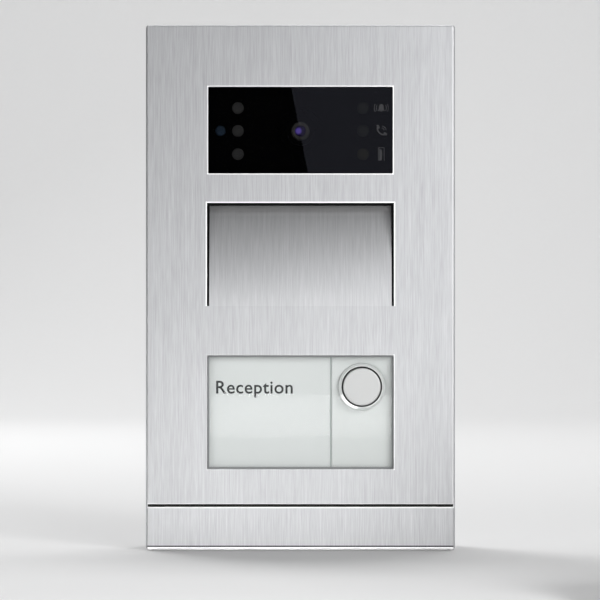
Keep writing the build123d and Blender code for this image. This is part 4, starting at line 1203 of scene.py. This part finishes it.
class INTERCOM_OT_boards(bpy.types.Operator):
    """Finish the circuit boards and ribbon cables, and fit the terminal board's small parts"""

    bl_idname = "intercom.boards"
    bl_label = "Boards"

    def execute(self, context):
        boards = ("camera_board", "audio_board", "button_board", "terminal_board", "image_sensor_board")
        paint({board: circuit_board() for board in boards})
        paint({"ribbon_cables": ribbon_vinyl(), "ribbon_plugs": black_moulding(), "tamper_sensor": black_moulding()})
        paint({"module_carrier": chassis_moulding(), "terminal_block": green_moulding(), "dial_bases": blue_moulding()})
        dials = ("address_dial_tens", "address_dial_units", "volume_dial")
        paint({dial: white_moulding() for dial in dials})
        self.add_chips()
        self.add_capacitor()
        self.add_marks()
        return {"FINISHED"}

    def add_chips(self):
        """Two chips with their legs and a row of small resistors."""
        surface = -front_of("terminal_board")
        chips, legs = [], []
        for x, z, wide, tall in ((6.0, -90.6, 9.0, 4.0), (19.0, -90.6, 6.0, 4.0)):
            chips.append(((x - wide / 2, -1.6, z - tall / 2), (x + wide / 2, -0.2, z + tall / 2)))
            count = int(wide / 1.27)
            for step in range(count):
                u = x - (count - 1) * 0.635 + step * 1.27
                for side in (-1, 1):
                    near, far = sorted((z + side * tall / 2, z + side * (tall / 2 + 0.9)))
                    legs.append(((u - 0.2, -0.5, near), (u + 0.2, 0.0, far)))
        resistors = [((x, -0.45, -93.7), (x + 1.6, 0.0, -92.9)) for x in (26.5 - 1.9, 26.5 - 4.2)]
        for name, boxes, finish, slot in (
            ("board_chips", chips, black_moulding(), "switch_plastic"),
            ("chip_legs", legs, plated_screw(), "zinc_screws"),
            ("board_resistors", resistors, black_moulding(), "switch_plastic"),
        ):
            set_out = [tuple((x * MM, surface + y * MM, z * MM) for x, y, z in corners) for corners in boxes]
            mesh = rounded_boxes(name, set_out, 0.08 * MM)
            finished_piece(name, mesh, finish, "housing")

    def add_capacitor(self):
        """An upright capacitor with a crimped waist and a vented top."""
        face = front_of("terminal_board") / MM
        profile = [(0, face), (2.4, face), (2.5, face + 0.3), (2.5, face + 0.8), (2.3, face + 1.1), (2.5, face + 1.4)]
        profile += [(2.5, face + 6.6), (2.2, face + 7.0), (1.9, face + 6.9), (0, face + 6.9)]
        mesh = turned_mesh("board_capacitors", profile, [(27.9 * MM, -98.0 * MM)], 32)
        finished_piece("board_capacitors", mesh, magnet_plate(), "housing")

    def add_marks(self):
        """Terminal numbers on the board and ten ticks round each address dial."""
        low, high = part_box("terminal_screws")
        pitch = (high.x - low.x - 3.4 * MM) / 4
        depth = front_of("terminal_board")
        for number in range(5):
            x = low.x + 1.7 * MM + number * pitch - 0.6 * MM
            name = f"terminal_number_{number + 1}"
            mesh = text_mesh(name, str(number + 1), 1.8 * MM, x, -109.0 * MM, depth, 0.02 * MM)
            finished_piece(name, mesh, board_ink(), "housing")
        for name, dial in (("tens_ticks", "address_dial_tens"), ("units_ticks", "address_dial_units")):
            middle = middle_of(dial)
            loops = []
            for step in range(10):
                tick = [(3.55, -0.1), (4.25, -0.1), (4.25, 0.1), (3.55, 0.1)]
                loops.append(placed(tick, middle.x, middle.z, MM, 36 * step))
            base = front_of("dial_bases")
            mesh = flat_shape(name, loops, base, base + 0.03 * MM, 0.005 * MM)
            finished_piece(name, mesh, board_ink(), "housing")


PANEL = (0.0, -0.03, 0.0)

# name, place, aim, size and watts of each soft light
LIGHTS = (
    ("right_high_light", (0.75, -1.0, 0.55), PANEL, (0.4, 0.3), 6),
    ("right_front_light", (0.45, -1.35, 0.2), PANEL, (0.3, 0.5), 4.61),
    ("left_light", (-0.75, -1.1, 0.2), PANEL, (0.4, 0.5), 2.54),
    ("low_right_light", (0.35, -0.6, -0.06), PANEL, (0.2, 0.06), 0.048),
    ("floor_light", (0.0, -0.7, 0.5), (0.0, -0.45, -0.115), (0.5, 0.3), 0.083),
    ("low_middle_light", (-0.03, -0.33, -0.108), PANEL, (0.12, 0.01), 0.072),
    ("low_wide_light", (-0.05, -0.9, -0.09), PANEL, (0.5, 0.03), 0.671),
    ("sweep_light", (0.0, 0.7, 1.9), (0.0, 1.1, 0.2), (1.8, 0.8), 26.0),
    ("back_light", (-0.8, 1.1, 0.7), PANEL, (0.6, 0.6), 6.0),
)


class INTERCOM_OT_stage(bpy.types.Operator):
    """Set up the pale sweep, the soft lights and the camera"""

    bl_idname = "intercom.stage"
    bl_label = "Stage"

    def execute(self, context):
        scene, studio = context.scene, context.scene.intercom_studio
        scene.view_settings.view_transform = "Standard"
        self.add_sweep(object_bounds()[0].z)
        self.add_cards()
        self.add_camera(scene, studio)
        for name, place, aim, size, power in LIGHTS:
            self.add_light(name, place, Vector(aim), size, power * studio.strength)
        scene.world = scene.world or bpy.data.worlds.new("studio_air")
        scene.world.use_nodes = True
        background = scene.world.node_tree.nodes["Background"]
        background.inputs["Color"].default_value = (0.97, 0.98, 1.0, 1.0)
        background.inputs["Strength"].default_value = studio.ambient
        return {"FINISHED"}

    def add_sweep(self, floor):
        """A pale floor that curves up into a backdrop."""
        back, bend = 1.9, 0.5
        line = [(-4.5, floor), (back - bend, floor)]
        turn = [math.radians(90 * step / 16) for step in range(1, 17)]
        line += [(back - bend + bend * math.sin(a), floor + bend - bend * math.cos(a)) for a in turn]
        line += [(back, 3.2)]
        shape = bmesh.new()
        rows = [[shape.verts.new((x, y, z)) for x in (-5.0, 5.0)] for y, z in line]
        for first, second in zip(rows, rows[1:]):
            shape.faces.new((first[0], first[1], second[1], second[0])).smooth = True
        mesh = closed_mesh("sweep", shape)
        finish = Finish("sweep_paper", {"Specular IOR Level": 0.2})
        fibre = finish.noise(0.004, 3.0)
        finish.feed(
            {"Base Color": finish.shades(fibre, (0.82, 0.82, 0.82), 0.01), "Roughness": 0.85 + 0.05 * fibre}
        )
        mesh.materials.append(finish.material)
        shown("sweep", mesh)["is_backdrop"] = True

    def add_cards(self):
        """Two cards behind the camera that the dark window mirrors, and one that shades the lower right."""
        black_flag = [(-0.55, 0.45), (-0.55, -0.3), (0.55, -0.3), (0.55, 0.45)]
        dim_flag = [(-0.0517, 0.42), (0.0221, 0.04), (0.6, 0.04), (0.6, 0.42)]
        shade_card = [(0.1, -0.1146), (0.5, -0.1146), (0.5, 0.05), (0.25, 0.0), (0.14, -0.055)]
        self.add_card("black_flag", black_flag, -1.6, self.card_finish("black_flag", 0.0), True)
        self.add_card("dim_flag", dim_flag, -1.58, self.card_finish("dim_flag", 0.3), True)
        self.add_card("shade_card", shade_card, -0.26, bpy.data.materials["black_flag"], False)

    def card_finish(self, name, glow):
        """A dead black card that may glow a little."""
        settings = {
            "Base Color": (0.0, 0.0, 0.0),
            "Roughness": 1.0,
            "Specular IOR Level": 0.0,
            "Emission Color": (0.9, 0.94, 1.2),
            "Emission Strength": glow,
        }
        return Finish(name, settings).material

    def add_card(self, name, corners, y, finish, mirrored_only):
        """A flat card the camera doesn't see. A card that is only mirrored casts no light or shadow."""
        shape = bmesh.new()
        shape.faces.new([shape.verts.new((x, y, z)) for x, z in corners])
        mesh = closed_mesh(name, shape)
        mesh.materials.append(finish)
        card = shown(name, mesh)
        card.visible_camera = False
        if mirrored_only:
            card.visible_diffuse = False
            card.visible_shadow = False
        card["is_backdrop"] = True

    def add_light(self, name, place, aim, size, power):
        """A soft rectangular light that the camera doesn't see."""
        lamp = bpy.data.lights.new(name, "AREA")
        lamp.shape = "RECTANGLE"
        lamp.size, lamp.size_y = size
        lamp.energy = power
        light = shown(name, lamp)
        light.location = place
        light.rotation_euler = (aim - Vector(place)).to_track_quat("-Z", "Y").to_euler()
        light.visible_camera = False

    def add_camera(self, scene, studio):
        """A long lens straight in front, a touch below the panel's middle."""
        lens = bpy.data.cameras.new("camera")
        lens.lens = studio.lens
        lens.sensor_width = 36.0
        lens.clip_start, lens.clip_end = 0.05, 50.0
        camera = shown("camera", lens)
        distance = studio.frame_width * studio.lens / lens.sensor_width
        camera.location = (-0.0002, -front_of("housing_frame") - distance, -0.00546)
        camera.rotation_euler = (math.pi / 2, 0.0, 0.0)
        scene.camera = camera


class INTERCOM_PT_panel(bpy.types.Panel):
    """Sizes, colours, light and making steps of the intercom panel"""

    bl_idname = "INTERCOM_PT_panel"
    bl_label = "Door Intercom"
    bl_space_type = "VIEW_3D"
    bl_region_type = "UI"
    bl_category = "Intercom"

    def draw(self, context):
        for group in (context.scene.intercom_sizes, context.scene.intercom_colours, context.scene.intercom_studio):
            box = self.layout.box()
            for key in group.bl_rna.properties.keys():
                if key not in ("rna_type", "name"):
                    box.prop(group, key)
        for step in STEPS:
            self.layout.operator(step.bl_idname)


GROUPS = (IntercomSizes, IntercomColours, IntercomStudio)
STEPS = (
    INTERCOM_OT_stage,
    INTERCOM_OT_front_metal,
    INTERCOM_OT_housing,
    INTERCOM_OT_hardware,
    INTERCOM_OT_windows,
    INTERCOM_OT_camera,
    INTERCOM_OT_pictograms,
    INTERCOM_OT_name_plate,
    INTERCOM_OT_call_button,
    INTERCOM_OT_audio,
    INTERCOM_OT_boards,
)


def register():
    for part in (*GROUPS, *STEPS, INTERCOM_PT_panel):
        bpy.utils.register_class(part)
    bpy.types.Scene.intercom_sizes = PointerProperty(type=IntercomSizes)
    bpy.types.Scene.intercom_colours = PointerProperty(type=IntercomColours)
    bpy.types.Scene.intercom_studio = PointerProperty(type=IntercomStudio)


def unregister():
    del bpy.types.Scene.intercom_sizes
    del bpy.types.Scene.intercom_colours
    del bpy.types.Scene.intercom_studio
    for part in reversed((*GROUPS, *STEPS, INTERCOM_PT_panel)):
        bpy.utils.unregister_class(part)


def main():
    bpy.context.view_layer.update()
    register()
    for step in STEPS:
        getattr(bpy.ops.intercom, step.bl_idname.split(".")[1])()
    bpy.context.view_layer.update()


if __name__ == "__main__":
    main()
